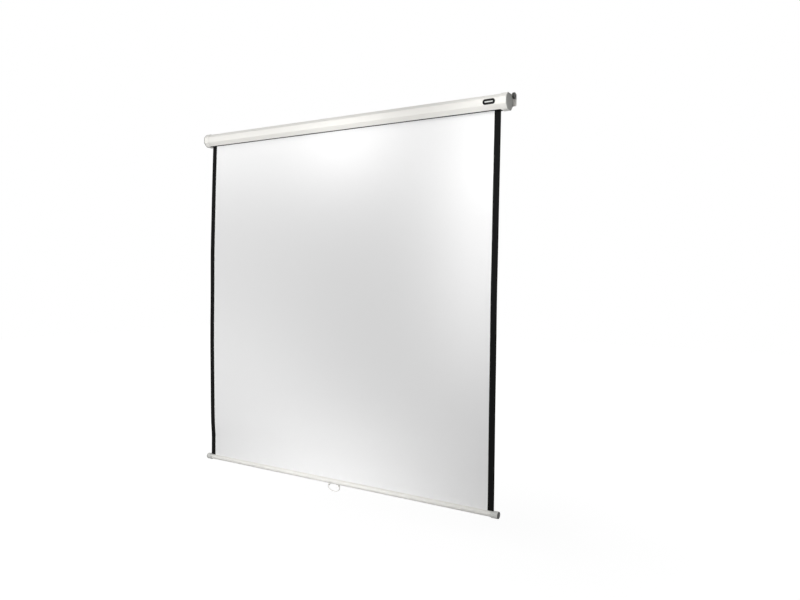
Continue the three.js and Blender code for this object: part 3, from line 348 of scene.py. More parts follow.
def make_weave_group():
    """Plain weave that shows faintly through a coating: threads over and under, with uneven yarn."""
    nodes, given, made = shader_group(
        "Weave",
        [("Vector", "Vector"), ("Thread", "Float", 1 * MM)],
        [("Height", "Float"), ("Yarn", "Float")],
    )
    uneven_per_thread, thinnest_yarn = 0.18, 0.6
    place = nodes.add("ShaderNodeSeparateXYZ", {"Vector": given["Vector"]})
    turn = nodes.math("DIVIDE", math.pi, given["Thread"])
    across = nodes.math("SINE", nodes.math("MULTIPLY", place.outputs["X"], turn))
    down = nodes.math("SINE", nodes.math("MULTIPLY", place.outputs["Y"], turn))
    crossing = nodes.math("MULTIPLY_ADD", nodes.math("MULTIPLY", across, down), 0.5, 0.5)
    uneven = nodes.noise(given["Vector"], nodes.math("DIVIDE", uneven_per_thread, given["Thread"]))
    yarn_height = nodes.spread(uneven, thinnest_yarn, 1.0)
    nodes.feed(made, {"Height": nodes.math("MULTIPLY", crossing, yarn_height), "Yarn": uneven})


def make_brushing_group():
    """Drawn or turned metal: long fine scratches along one axis."""
    nodes, given, made = shader_group(
        "Drawn metal",
        [("Vector", "Vector"), ("Line Size", "Float", 0.3 * MM), ("Roughness", "Float", 0.35)],
        [("Roughness", "Float"), ("Height", "Float")],
    )
    stretch, gloss_swing = (0.02, 1.0, 1.0), 0.25
    drawn = nodes.add("ShaderNodeVectorMath", {0: given["Vector"], 1: stretch}, operation="MULTIPLY")
    scale = nodes.math("DIVIDE", 1.0, given["Line Size"])
    lines = nodes.noise(drawn.outputs[0], scale, detail=3.0)
    swing = nodes.math("SUBTRACT", lines, 0.5)
    nodes.feed(made, {
        "Roughness": nodes.math("MULTIPLY_ADD", swing, gloss_swing, given["Roughness"]),
        "Height": lines,
    })


# Finishes: one for each material slot of the frame's record, and some that one piece has to itself

def new_material(name):
    material = bpy.data.materials.new(name)
    material.use_nodes = True
    nodes = Nodes(material.node_tree)
    return material, nodes, material.node_tree.nodes["Principled BSDF"]


def place_group(nodes, name, values):
    return nodes.add("ShaderNodeGroup", values, node_tree=bpy.data.node_groups[name]).outputs


def add_bump(nodes, shader, height, depth, strength=1.0):
    """Lets a height between 0 and 1 stand out from the surface by a depth."""
    bump = nodes.add("ShaderNodeBump", {"Height": height, "Distance": depth, "Strength": strength})
    nodes.feed(shader, {"Normal": bump.outputs["Normal"]})


def coated(name, color, roughness, grain, depth, gloss_variation=0.06, cloudiness=0.03, specular=0.5):
    """Paint or moulded plastic in one colour."""
    material, nodes, shader = new_material(name)
    skin = place_group(nodes, "Coating", {
        "Vector": nodes.place(),
        "Color": (*color, 1),
        "Grain Size": grain,
        "Gloss Variation": gloss_variation,
        "Roughness": roughness,
        "Cloudiness": cloudiness,
    })
    nodes.feed(shader, {
        "Base Color": skin["Color"], "Roughness": skin["Roughness"], "Specular IOR Level": specular})
    add_bump(nodes, shader, skin["Height"], depth)
    return material


def drawn_metal(name, color, roughness):
    """Bright metal with fine scratches along X."""
    material, nodes, shader = new_material(name)
    lines = place_group(nodes, "Drawn metal", {"Vector": nodes.place(), "Roughness": roughness})
    nodes.feed(shader, {"Base Color": (*color, 1), "Metallic": 1.0, "Roughness": lines["Roughness"]})
    add_bump(nodes, shader, lines["Height"], depth=0.02 * MM)
    return material


def white_paint():
    color = scene_settings("screen_case").paint
    return coated("white powder coat", color, roughness=0.38, grain=1.1 * MM, depth=0.02 * MM)


def white_plastic():
    color = scene_settings("screen_case").plastic
    return coated("white moulded plastic", color, roughness=0.46, grain=0.5 * MM, depth=0.02 * MM)


def grey_plastic():
    color = scene_settings("screen_bar").end_grey
    return coated("light grey plastic", color, roughness=0.42, grain=0.5 * MM, depth=0.015 * MM)


def cap_grey():
    color = scene_settings("screen_cap").plate_grey
    return coated("cap plate grey", color, roughness=0.5, grain=0.5 * MM, depth=0.02 * MM)


def dark_plastic():
    return coated(
        "dark plastic", (0.028, 0.028, 0.026), roughness=0.48, grain=0.4 * MM, depth=0.03 * MM,
        cloudiness=0.15)


def dark_plate():
    """The plate's ring, flatter and darker than the knobs."""
    return coated(
        "black plate", (0.008, 0.008, 0.008), roughness=0.6, grain=0.4 * MM, depth=0.02 * MM,
        cloudiness=0.1, specular=0.15)


def plate_inlay():
    return coated("pale inlay", (0.55, 0.55, 0.54), roughness=0.5, grain=0.4 * MM, depth=0.01 * MM)


def slot_painted_shade():
    """Painted shade: near-black, matte and grainy, on the slot's edges, standing in for the dark line of
    shade under the case.
    """
    return coated(
        "slot painted shade", (0.02, 0.02, 0.02), roughness=0.95, grain=0.7 * MM, depth=0.2 * MM,
        cloudiness=0.3, specular=0.1)


def nylon():
    return coated("natural nylon", (0.72, 0.7, 0.62), roughness=0.5, grain=0.8 * MM, depth=0.02 * MM)


def zinc_steel():
    return drawn_metal("zinc-plated steel", (0.62, 0.63, 0.64), roughness=0.34)


def spring_steel():
    return drawn_metal("oiled spring steel", (0.3, 0.3, 0.31), roughness=0.28)


def core_wood():
    """A turned dowel, with its grain along X."""
    material, nodes, shader = new_material("turned dowel")
    dark, pale = (0.34, 0.19, 0.08, 1), (0.62, 0.42, 0.22, 1)
    stretch = nodes.add("ShaderNodeMapping", {"Vector": nodes.place(), "Scale": (4.0, 90.0, 90.0)})
    grain = nodes.noise(stretch.outputs["Vector"], 1.0, detail=5.0, roughness=0.65)
    nodes.feed(shader, {"Base Color": nodes.mix(grain, dark, pale), "Roughness": 0.6})
    add_bump(nodes, shader, grain, depth=0.05 * MM)
    return material


def cloth_material(name, length, front):
    """Coated cloth with a black border down each side of its front, and black painted along its top as
    painted shade under the case's slot. Its map runs over width and length.
    """
    cloth = scene_settings("screen_sheet")
    material, nodes, shader = new_material(name)
    flat = nodes.add("ShaderNodeUVMap", uv_map=CLOTH_MAP).outputs["UV"]
    scale = (2 * SHEET_HALF, length, 1.0)
    where = nodes.add("ShaderNodeMapping", {"Vector": flat, "Scale": scale}).outputs["Vector"]
    weave = place_group(nodes, "Weave", {"Vector": where, "Thread": cloth.thread})

    def yarn(color, times):
        """A colour that drifts with the yarn towards so many times its own brightness."""
        return nodes.mix(weave["Yarn"], (*color, 1), (*(times * channel for channel in color), 1))

    if front:
        place = nodes.add("ShaderNodeSeparateXYZ", {"Vector": where}).outputs
        off_middle = nodes.math("ABSOLUTE", nodes.math("SUBTRACT", place["X"], SHEET_HALF))
        at_side = nodes.math("GREATER_THAN", off_middle, SHEET_HALF - cloth.border)
        # painted shade: the top of the cloth is coloured black for the shade under the case's slot
        in_painted_shade_band = nodes.math("GREATER_THAN", place["Y"], length - cloth.painted_shade_band)
        border_or_shade_band = nodes.math("MAXIMUM", at_side, in_painted_shade_band)
        color = nodes.mix(border_or_shade_band, yarn(cloth.white, 0.975), yarn(cloth.black, 1.6))
    else:
        color = yarn(cloth.black, 2.5)
    nodes.feed(shader, {"Base Color": color, "Roughness": 0.9, "Specular IOR Level": 0.06})
    add_bump(nodes, shader, weave["Height"], depth=0.04 * MM, strength=0.6)
    return material


def sheet_white():
    """The hem's white cloth, which has no map of its own."""
    color = scene_settings("screen_sheet").white
    return coated("white cloth", color, roughness=0.85, grain=0.6 * MM, depth=0.04 * MM)


FINISHES = {maker.__name__: maker for maker in (
    white_paint, white_plastic, grey_plastic, dark_plastic, nylon, zinc_steel, spring_steel, core_wood,
    sheet_white)}
CLOTH_MAP = "Cloth"
finished = {}


def finish_of(slot):
    if slot not in finished:
        finished[slot] = FINISHES[slot]()
    return finished[slot]


# Mesh helpers

def new_object(name, data):
    piece = bpy.data.objects.new(name, data)
    bpy.context.scene.collection.objects.link(piece)
    return piece


def mesh_object(name, points, faces, edges=()):
    mesh = bpy.data.meshes.new(name)
    mesh.from_pydata([tuple(p) for p in points], edges, faces)
    return new_object(name, mesh)


def block(name, sizes, centre):
    """A block for a cut."""
    points = [
        Vector(centre) + Vector((x * sizes[0], y * sizes[1], z * sizes[2])) / 2
        for z in (-1, 1) for y in (-1, 1) for x in (-1, 1)
    ]
    faces = [(0, 2, 3, 1), (4, 5, 7, 6), (0, 1, 5, 4), (2, 6, 7, 3), (0, 4, 6, 2), (1, 3, 7, 5)]
    return mesh_object(name, points, faces)


def flatten_modifiers(piece):
    """Turns a piece and its modifiers into a plain mesh."""
    bpy.context.view_layer.update()
    evaluated = piece.evaluated_get(bpy.context.evaluated_depsgraph_get())
    mesh = bpy.data.meshes.new_from_object(evaluated)
    piece.modifiers.clear()
    piece.data = mesh
    return piece


@contextmanager
def open_mesh(piece):
    """A piece's mesh, open to bmesh tools and written back afterwards."""
    work = bmesh.new()
    work.from_mesh(piece.data)
    yield work
    work.to_mesh(piece.data)
    work.free()


def merge_doubles(work):
    bmesh.ops.remove_doubles(work, verts=work.verts, dist=0.001 * MM)


def face_outwards(piece):
    with open_mesh(piece) as work:
        merge_doubles(work)
        bmesh.ops.recalc_face_normals(work, faces=work.faces)
    return piece


def shade(piece, angle=32.0):
    """Smooth over gentle bends, crisp over edges sharper than the angle."""
    piece.data.shade_smooth()
    piece.data.set_sharp_from_angle(angle=math.radians(angle))
    return piece


def settle(piece, body, slot, *nodes, material=None):
    """Gives a finished piece its material, its body and the CAD nodes that it stands for."""
    piece.data.materials.clear()
    piece.data.materials.append(material or finish_of(slot))
    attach(piece, body)
    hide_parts(*nodes)
    return piece


def circle(radius, count):
    return [
        Vector((radius * math.cos(a), radius * math.sin(a)))
        for a in (2 * math.pi * i / count for i in range(count))
    ]


def rounded(corners, radius, steps):
    """A path through corners, with each one but the two ends bent to a radius."""
    path = [corners[0]]
    for before, corner, after in zip(corners, corners[1:], corners[2:]):
        one, other = (before - corner).normalized(), (after - corner).normalized()
        half = one.angle(other) / 2
        to_tangent = radius / math.tan(half)
        centre = corner + (one + other).normalized() * radius / math.sin(half)
        start = corner + one * to_tangent - centre
        turn = -start.angle_signed(corner + other * to_tangent - centre)
        for i in range(steps + 1):
            path.append(centre + Matrix.Rotation(turn * i / steps, 2) @ start)
    path.append(corners[-1])
    return path


def without_doubles(path):
    """The path without any point that comes twice in a row."""
    return [p for i, p in enumerate(path) if i == 0 or (p - path[i - 1]).length > SAME_PLACE]


def octagon(grow):
    """The case's eight corners as depth and height from its middle, grown outwards."""
    depth, height = CASE_HALF_DEPTH + grow, CASE_HALF_HEIGHT + grow
    base = BASE_FLAT + grow * math.tan(CASE_LEAN / 2)
    front = FRONT_FLAT + grow * math.tan((math.pi / 2 - CASE_LEAN) / 2)
    upper = [Vector((depth, front)), Vector((base, height))]
    return [
        *upper,
        *(Vector((-p.x, p.y)) for p in reversed(upper)),
        *(Vector((-p.x, -p.y)) for p in upper),
        *(Vector((p.x, -p.y)) for p in reversed(upper)),
    ]


def hexagon(corner, steps):
    """A hexagon's outline, with as many points along each side as steps."""
    corners = [Vector((math.cos(a), math.sin(a))) * corner for a in (math.pi / 3 * i for i in range(7))]
    return [a.lerp(b, i / steps) for a, b in zip(corners, corners[1:]) for i in range(steps)]


def arc(centre_at, centre_r, radius, start, end, steps):
    """Points round a centre, as places along the axis and radii, with angles in degrees."""
    return [
        (centre_at + radius * math.cos(a), centre_r + radius * math.sin(a))
        for a in (math.radians(start + (end - start) * i / steps) for i in range(steps + 1))
    ]


def bezier(controls, steps):
    """Points of a curve with three or four control points, the first one left out."""
    order = len(controls) - 1
    points = []
    for i in range(1, steps + 1):
        t = i / steps
        shares = [math.comb(order, k) * (1 - t) ** (order - k) * t ** k for k in range(order + 1)]
        points.append(sum((share * Vector(c) for share, c in zip(shares, controls)), Vector((0, 0))))
    return points


# What puts a point of an outline at its place along X, Y or Z

def along_x(y, z):
    return lambda x, p: Vector((x, y + p.x, z + p.y))


def along_y(x, z):
    return lambda y, p: Vector((x + p.x, y, z + p.y))


def along_z(x=0, y=0):
    return lambda z, p: Vector((x + p.x, y + p.y, z))


def loft(name, rings, place, closed=False):
    """A solid through rings of [place along its axis, outline], with filled ends, or ends that join."""
    count = len(rings[0][1])
    points = [place(at, p) for at, outline in rings for p in outline]
    faces = []
    pairs = list(zip(range(len(rings)), range(1, len(rings))))
    if closed:
        pairs.append((len(rings) - 1, 0))
    for one, other in pairs:
        for i in range(count):
            j = (i + 1) % count
            faces.append((one * count + i, one * count + j, other * count + j, other * count + i))
    if not closed:
        faces.append(tuple(range(count)))
        faces.append(tuple((len(rings) - 1) * count + i for i in range(count)))
    return face_outwards(mesh_object(name, points, faces))


def turned(name, profile, place, sides, sign=1, closed=False):
    """A round solid from a profile of [place along its axis, radius], turned about for a negative sign."""
    least = 0.002 * MM
    rings = [(sign * at, circle(max(r, least), sides)) for at, r in profile]
    return loft(name, rings, place, closed)


def thicken(piece, thickness, back_material=0):
    """Gives a skin its wall, half of it to each side."""
    wall = piece.modifiers.new("Wall", "SOLIDIFY")
    wall.thickness = thickness
    wall.offset = 0
    wall.use_even_offset = True
    wall.material_offset = back_material
    return flatten_modifiers(piece)


def sheet_metal(name, path, thickness, start, end, place):
    """Folded sheet: a path across, drawn out from start to end and thickened both ways."""
    points = [place(at, p) for at in (start, end) for p in path]
    count = len(path)
    faces = [(i, i + 1, count + i + 1, count + i) for i in range(count - 1)]
    return face_outwards(thicken(mesh_object(name, points, faces), thickness))


def cut(piece, tool):
    step = piece.modifiers.new("Cut", "BOOLEAN")
    step.operation = "DIFFERENCE"
    step.object = tool
    step.solver = "EXACT"
    flatten_modifiers(piece)
    bpy.data.objects.remove(tool)


def softened(node, name, width):
    """A copy of a CAD piece with its sharp edges rounded off."""
    piece = frame["nodes"][node].copy()
    piece.data = frame["nodes"][node].data.copy()
    piece.name = piece.data.name = name
    piece.parent = None
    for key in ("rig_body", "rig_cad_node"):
        del piece[key]
    bpy.context.scene.collection.objects.link(piece)
    with open_mesh(piece) as work:
        merge_doubles(work)
        bmesh.ops.dissolve_limit(work, angle_limit=math.radians(1), verts=work.verts, edges=work.edges)
    edge = piece.modifiers.new("Edge", "BEVEL")
    edge.width = width
    edge.segments = 3
    edge.limit_method = "ANGLE"
    edge.angle_limit = math.radians(38)
    return shade(flatten_modifiers(piece), angle=40)


# Geometry node trees for what repeats or follows a path

def geometry_tree(name, inputs):
    geometry = ("Geometry", "Geometry")
    return node_group(name, "GeometryNodeTree", [geometry, *inputs], [geometry])


def finish_geometry(nodes, geometry, given, made):
    real = nodes.add("GeometryNodeRealizeInstances", {"Geometry": geometry})
    painted = nodes.add("GeometryNodeSetMaterial", {
        "Geometry": real.outputs["Geometry"], "Material": given["Material"]})
    nodes.feed(made, {"Geometry": painted.outputs["Geometry"]})


def make_fastener_tree():
    """One fastener at each point, each turned by chance about its own axis."""
    nodes, given, made = geometry_tree("Fasteners", [
        ("Fastener", "Object"), ("Tilt", "Vector"), ("Seed", "Int"), ("Material", "Material")])
    template = nodes.add("GeometryNodeObjectInfo", {"Object": given["Fastener"]})
    turn = nodes.add("FunctionNodeRandomValue", {
        "Seed": given["Seed"], "Min": (0.0, 0.0, -math.pi), "Max": (0.0, 0.0, math.pi),
    }, data_type="FLOAT_VECTOR")
    spin = nodes.add("FunctionNodeEulerToRotation", {"Euler": turn.outputs["Value"]})
    lean = nodes.add("FunctionNodeEulerToRotation", {"Euler": given["Tilt"]})
    both = nodes.add("FunctionNodeRotateRotation", {
        "Rotation": lean.outputs["Rotation"], "Rotate By": spin.outputs["Rotation"],
    }, rotation_space="LOCAL")
    points = nodes.add("GeometryNodeMeshToPoints", {"Mesh": given["Geometry"]})
    placed = nodes.add("GeometryNodeInstanceOnPoints", {
        "Points": points.outputs["Points"],
        "Instance": template.outputs["Geometry"],
        "Rotation": both.outputs["Rotation"],
    })
    finish_geometry(nodes, placed.outputs["Instances"], given, made)


def make_rod_tree():
    """A round rod that follows a path and has closed ends."""
    nodes, given, made = geometry_tree("Bent rod", [
        ("Radius", "Float"), ("Sides", "Int"), ("Material", "Material")])
    path = nodes.add("GeometryNodeMeshToCurve", {"Mesh": given["Geometry"]})
    section = nodes.add("GeometryNodeCurvePrimitiveCircle", {
        "Resolution": given["Sides"], "Radius": given["Radius"]})
    rod = nodes.add("GeometryNodeCurveToMesh", {
        "Curve": path.outputs["Curve"], "Profile Curve": section.outputs["Curve"], "Fill Caps": True})
    finish_geometry(nodes, rod.outputs["Mesh"], given, made)


def run_tree(piece, tree_name, values):
    """Runs a geometry tree on a piece and keeps its result as a plain mesh."""
    step = piece.modifiers.new(tree_name, "NODES")
    step.node_group = bpy.data.node_groups[tree_name]
    items = step.node_group.interface.items_tree
    sockets = {item.name: item.identifier for item in items if item.in_out == "INPUT"}
    for name, value in values.items():
        step[sockets[name]] = value
    return flatten_modifiers(piece)


def fasteners(name, body, nodes, template, places, tilt, seed):
    """Copies of a zinc-plated template at several places, as one piece that stands for their nodes."""
    piece = mesh_object(name, places, [])
    run_tree(piece, "Fasteners", {
        "Fastener": template, "Tilt": tilt, "Seed": seed, "Material": finish_of("zinc_steel")})
    bpy.data.objects.remove(template)
    settle(shade(face_outwards(piece)), body, "zinc_steel", *nodes)


# Operators

class SCREEN_OT_studio(Operator):
    """Set up the camera, the lamps, the pale floor and the white surroundings"""

    bl_idname = "screen.studio"
    bl_label = "Studio"

    def execute(self, context):
        studio = context.scene.screen_studio
        context.scene.view_settings.view_transform = "Standard"
        self.add_camera(context.scene, studio)
        self.add_world(context.scene, studio)
        self.add_floor(studio)
        for name, (place, aim, sizes, watts) in LAMPS.items():
            self.add_lamp(name + " lamp", Vector(place), Vector(aim), sizes, watts * studio.lamp_level)
        return {"FINISHED"}

    def add_camera(self, scene, studio):
        data = bpy.data.cameras.new("camera")
        data.lens = studio.lens
        data.sensor_width = 36
        scene.camera = new_object("camera", data)
        scene.camera.location = studio.camera_place
        scene.camera.rotation_euler = studio.camera_turn

    def seen(self, nodes):
        """1 where the camera, gloss or glass looks, and 0 for light that falls on things."""
        rays = nodes.add("ShaderNodeLightPath").outputs
        gloss = nodes.math("MAXIMUM", rays["Is Glossy Ray"], rays["Is Transmission Ray"])
        return nodes.math("MAXIMUM", rays["Is Camera Ray"], gloss)

    def show(self, nodes, factor, one, other, end):
        """Feeds an end node one shader at a factor of 0 and another at 1."""
        both = nodes.add("ShaderNodeMixShader", {"Fac": factor, 1: one.outputs[0], 2: other.outputs[0]})
        nodes.feed(nodes.tree.nodes[end], {"Surface": both.outputs[0]})

    def add_world(self, scene, studio):
        """White where the camera, gloss or glass sees it, and a dim even light for the rest."""
        world = bpy.data.worlds.new("surroundings")
        scene.world = world
        world.use_nodes = True
        nodes = Nodes(world.node_tree)
        even = world.node_tree.nodes["Background"]
        nodes.feed(even, {"Color": (1, 1, 1, 1), "Strength": studio.ambient})
        white = nodes.add("ShaderNodeBackground", {"Color": (1, 1, 1, 1), "Strength": 1.0})
        self.show(nodes, self.seen(nodes), even, white, "World Output")

    def add_floor(self, studio):
        """A pale floor that keeps the soft shadow and is clear from below."""
        reach, near, far = 14.0, 2.6, 5.0
        corners = [
            (x * reach, y * reach, studio.floor_height) for x, y in ((-1, -1), (1, -1), (1, 1), (-1, 1))]
        floor = mesh_object("floor", corners, [(0, 1, 2, 3)])
        material, nodes, shader = new_material("pale floor")
        nodes.feed(shader, {
            "Base Color": (0.25, 0.25, 0.25, 1), "Roughness": 1.0, "Specular IOR Level": 0.0})
        away = nodes.add("ShaderNodeVectorMath", {"Vector": nodes.place()}, operation="LENGTH")
        fade = nodes.add("ShaderNodeMapRange", {
            "Value": away.outputs["Value"], "From Min": near, "From Max": far,
            "To Min": studio.floor_lift, "To Max": 1.0})
        glow = nodes.math("MULTIPLY", self.seen(nodes), fade.outputs["Result"])
        lift = nodes.add("ShaderNodeEmission", {"Color": (1, 1, 1, 1), "Strength": glow})
        lit = nodes.add("ShaderNodeAddShader", {0: shader.outputs[0], 1: lift.outputs[0]})
        clear = nodes.add("ShaderNodeBsdfTransparent")
        behind = nodes.add("ShaderNodeNewGeometry").outputs["Backfacing"]
        self.show(nodes, behind, lit, clear, "Material Output")
        floor.data.materials.append(material)

    def add_lamp(self, name, place, aim, sizes, watts):
        data = bpy.data.lights.new(name, "AREA")
        data.shape = "RECTANGLE"
        data.size, data.size_y = sizes
        data.energy = watts
        lamp = new_object(name, data)
        lamp.location = place
        lamp.rotation_euler = (aim - place).to_track_quat("-Z", "Y").to_euler()
        lamp.visible_camera = False


class SCREEN_OT_sheet(Operator):
    """Hang the cloth, with its belly, borders and black backing, and wind its last turns on the roller"""

    bl_idname = "screen.sheet"
    bl_label = "Sheet"

    columns = 96
    rows = 120

    def execute(self, context):
        cloth = context.scene.screen_sheet
        length = SHEET_TOP - SHEET_FOOT
        hanging = self.hang(cloth, length)
        wound = self.wind(cloth)
        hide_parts("screen_sheet", "border_left", "border_right")
        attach(hanging, "case")
        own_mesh(hanging)
        return {"FINISHED"}

    def swell(self, cloth, x, z):
        """How far the cloth stands forward: a belly, and shallow waves that fade towards the middle."""
        drop = min(max((-CASE_HALF_HEIGHT - z) / (-CASE_HALF_HEIGHT - BAR_TOP), 0.0), 1.0)
        across = (x + SHEET_HALF) / (2 * SHEET_HALF)
        belly = cloth.belly_left + (cloth.belly_right - cloth.belly_left) * across
        edge = abs(2 * across - 1) ** EDGE_POWER
        waves = sum(high * math.sin(down * drop + over * across) for high, down, over in WAVES)
        free = min(max((z - SHEET_FOOT - cloth.held) / cloth.release, 0.0), 1.0)
        curl = math.sin(math.pi * drop) * free * free * (3 - 2 * free)
        return (belly + cloth.ripple * edge * waves) * curl

    def woven(self, name, label, cloth, length, place, across, down):
        """A grid of cloth with a map over its width and length, white in front and black behind."""
        points = [place(u, v) for v in down for u in across]
        count = len(across)
        faces = [
            (r * count + c, r * count + c + 1, (r + 1) * count + c + 1, (r + 1) * count + c)
            for r in range(len(down) - 1) for c in range(count - 1)
        ]
        piece = mesh_object(name, points, faces)
        layer = piece.data.uv_layers.new(name=CLOTH_MAP)
        for loop in piece.data.loops:
            row, column = divmod(loop.vertex_index, count)
            layer.data[loop.index].uv = (across[column], down[row])
        piece.data.materials.append(cloth_material(label + " front", length, True))
        piece.data.materials.append(cloth_material(label + " back", length, False))
        return shade(thicken(piece, cloth.thickness, back_material=1), angle=50)

    def hang(self, cloth, length):
        """The cloth from the case down to the bar."""
        def place(u, v):
            x, z = (2 * u - 1) * SHEET_HALF, SHEET_FOOT + v * length
            return x, SHEET_Y - self.swell(cloth, x, z), z

        across = [i / self.columns for i in range(self.columns + 1)]
        down = [i / self.rows for i in range(self.rows + 1)]
        return self.woven("sheet_cloth", "hanging cloth", cloth, length, place, across, down)

    def wind(self, cloth):
        """The turns that stay on the tube when the sheet is right down, white side out."""
        turns, steps_per_turn, first_gap = 2, 48, 0.55 * MM
        inner = size("roller_tube", Z) / 2 + first_gap
        outer = -SHEET_Y + ROLLER_Y
        length = math.pi * (inner + outer) * turns
        steps = steps_per_turn * turns

        def place(u, v):
            angle = math.pi - 2 * math.pi * turns * (1 - v)
            radius = outer + (inner - outer) * (1 - v)
            x = (2 * u - 1) * SHEET_HALF
            return x, ROLLER_Y + radius * math.cos(angle), radius * math.sin(angle)

        border = cloth.border / (2 * SHEET_HALF)
        across = [0, border, 0.5, 1 - border, 1]
        down = [1 - i / steps for i in range(steps + 1)]
        piece = self.woven("sheet_turns", "wound cloth", cloth, length, place, across, down)
        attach(piece, "roller")
        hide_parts("sheet_roll")
        return piece


class SCREEN_OT_case(Operator):
    """Roll the eight-sided steel case with its bent corners and turned-up slot"""

    bl_idname = "screen.case"
    bl_label = "Case"

    def execute(self, context):
        case = context.scene.screen_case
        piece = sheet_metal(
            "case_body", self.section(case), case.wall, -CASE_HALF_LENGTH, CASE_HALF_LENGTH,
            along_x(CASE_Y, 0))
        hole = 1.9 * MM
        for node in CAP_SCREWS:
            drill = [(at, hole) for at in span(node, Z)]
            place = along_z(middle(node, X), middle(node, Y))
            cut(piece, turned("hole", drill, place, sides=24))
        settle(shade(piece), "case", "white_paint", "case_shell")
        # painted shade: the underside at the slot gets a near-black finish for the shade under the case
        self.add_slot_painted_shade(piece, case.lip - CASE_HALF_HEIGHT)
        return {"FINISHED"}

    def section(self, case):
        """The middle line of the steel, from the slot's front lip right round to its back lip."""
        half_wall = case.wall / 2
        half_slot = case.slot / 2 + half_wall
        front, back = SHEET_Y - CASE_Y - half_slot, SHEET_Y - CASE_Y + half_slot
        floor, lip = half_wall - CASE_HALF_HEIGHT, case.lip - CASE_HALF_HEIGHT
        corners = octagon(-half_wall)
        path = [
            Vector((front, lip)), Vector((front, floor)), *corners[5::-1], *corners[:5:-1],
            Vector((back, floor)), Vector((back, lip)),
        ]
        return rounded(without_doubles(path), case.bend - half_wall, steps=5)

    def add_slot_painted_shade(self, piece, top):
        """Paints the slot, its lips and the underside beside them near-black, as painted shade."""
        piece.data.materials.append(slot_painted_shade())
        for face in piece.data.polygons:
            if face.center.z < top and abs(face.center.y - CASE_Y) < BASE_FLAT:
                face.material_index = 1


class SCREEN_OT_end_caps(Operator):
    """Mould the two end caps with their rounded corners, raised rims and ears"""

    bl_idname = "screen.end_caps"
    bl_label = "End caps"

    def execute(self, context):
        cap = context.scene.screen_cap
        for (side, sign), plate in zip(SIDES, (cap.plate_left, cap.plate_right)):
            node = "end_cap_" + side
            piece = softened(node, "cap_moulding_" + side, cap.edge)
            settle(piece, "case", "white_plastic", node)
            self.grey_outer_plate(piece, sign, CAP_OUTER - plate)
        self.add_screws()
        return {"FINISHED"}

    def grey_outer_plate(self, piece, sign, start):
        """Gives the outermost part of a cap a grey of its own."""
        piece.data.materials.append(cap_grey())
        with open_mesh(piece) as work:
            everything = [*work.verts, *work.edges, *work.faces]
            bmesh.ops.bisect_plane(
                work, geom=everything, plane_co=(sign * start, 0, 0), plane_no=(1, 0, 0))
            for face in work.faces:
                face.material_index = int(sign * face.calc_center_median().x > start)

    def add_screws(self):
        """Pan-head screws with a cross slot, through the top of the caps."""
        head, shank, height, fillet = size(CAP_SCREWS[0], X) / 2, 1.6 * MM, 1.8 * MM, 1.3 * MM
        slot_sizes, slot_height = (3.4 * MM, 0.8 * MM, 1.6 * MM), 1.7 * MM
        foot, top = span(CAP_SCREWS[0], Z)
        seat = top - height
        profile = [
            (foot - seat, 0.0), (foot - seat, shank), (0.0, shank), (0.0, head), (height - fillet, head),
            *arc(height - fillet, head - fillet, fillet, 90, 0, 5), (height, 0.0),
        ]
        template = turned("screw", profile, along_z(), sides=32)
        for angle in (0.0, math.pi / 2):
            slot = block("slot", slot_sizes, (0, 0, slot_height))
            slot.data.transform(Matrix.Rotation(angle, 4, "Z"))
            cut(template, slot)
        places = [Vector((middle(n, X), middle(n, Y), seat)) for n in CAP_SCREWS]
        fasteners("cap_screws", "case", CAP_SCREWS, template, places, tilt=(0, 0, 0), seed=3)


class SCREEN_OT_brackets(Operator):
    """Press the wall brackets and fit their bolts and nuts"""

    bl_idname = "screen.brackets"
    bl_label = "Wall brackets"

    def execute(self, context):
        edge = 0.45 * MM
        for side, sign in SIDES:
            node = "wall_bracket_" + side
            piece = softened(node, "bracket_pressing_" + side, edge)
            settle(piece, "case", "white_paint", node)
            self.add_bolt(side, sign)
        self.add_nuts()
        return {"FINISHED"}

    def add_bolt(self, side, sign):
        """A plain shank under a broad round head with a softened edge and a shallow dish."""
        node = "bracket_bolt_" + side
        tip, face = outward_span(node, sign)
        radius, shank, fillet, dish = size(node, Y) / 2, 3 * MM, 2 * MM, 0.5 * MM
        tip_edge, lower_edge = 0.5 * MM, 0.4 * MM
        dish_rim_share, dish_floor_share = 0.45, 0.4
        under = min(
            sign * p.x for p in node_points(node) if abs(p.z - middle(node, Z)) > 2 * shank)
        profile = [
            (tip, 0.0), (tip, shank - tip_edge), (tip + tip_edge, shank), (under, shank),
            (under, radius - lower_edge), (under + lower_edge, radius),
            *arc(face - fillet, radius - fillet, fillet, 90, 0, 6),
            (face, radius * dish_rim_share), (face - dish, radius * dish_floor_share), (face - dish, 0.0),
        ]
        place = along_x(middle(node, Y), middle(node, Z))
        piece = turned("bolt_knob_" + side, profile, place, sides=64, sign=sign)
        settle(shade(piece), "case", "dark_plastic", node)

    def add_nuts(self):
        """Hexagon nuts, chamfered at both faces."""
        nodes = ["bracket_nut_left", "bracket_nut_right"]
        corner, thick = max(size(nodes[0], Y), size(nodes[0], Z)) / 2, size(nodes[0], X)
        bore, chamfer, steps = 3.2 * MM, 0.7 * MM, 8
        chamfer_height = 0.6 * chamfer
        hole, face, body = circle(bore, 6 * steps), hexagon(corner - chamfer, steps), hexagon(corner, steps)
        rings = [
            (0.0, hole), (0.0, face), (chamfer_height, body), (thick - chamfer_height, body),
            (thick, face), (thick, hole),
        ]
        template = loft("nut", rings, along_z(), closed=True)
        places = [Vector((span(n, X)[0], middle(n, Y), middle(n, Z))) for n in nodes]
        fasteners("bracket_nuts", "case", nodes, template, places, tilt=(0, math.pi / 2, 0), seed=5)


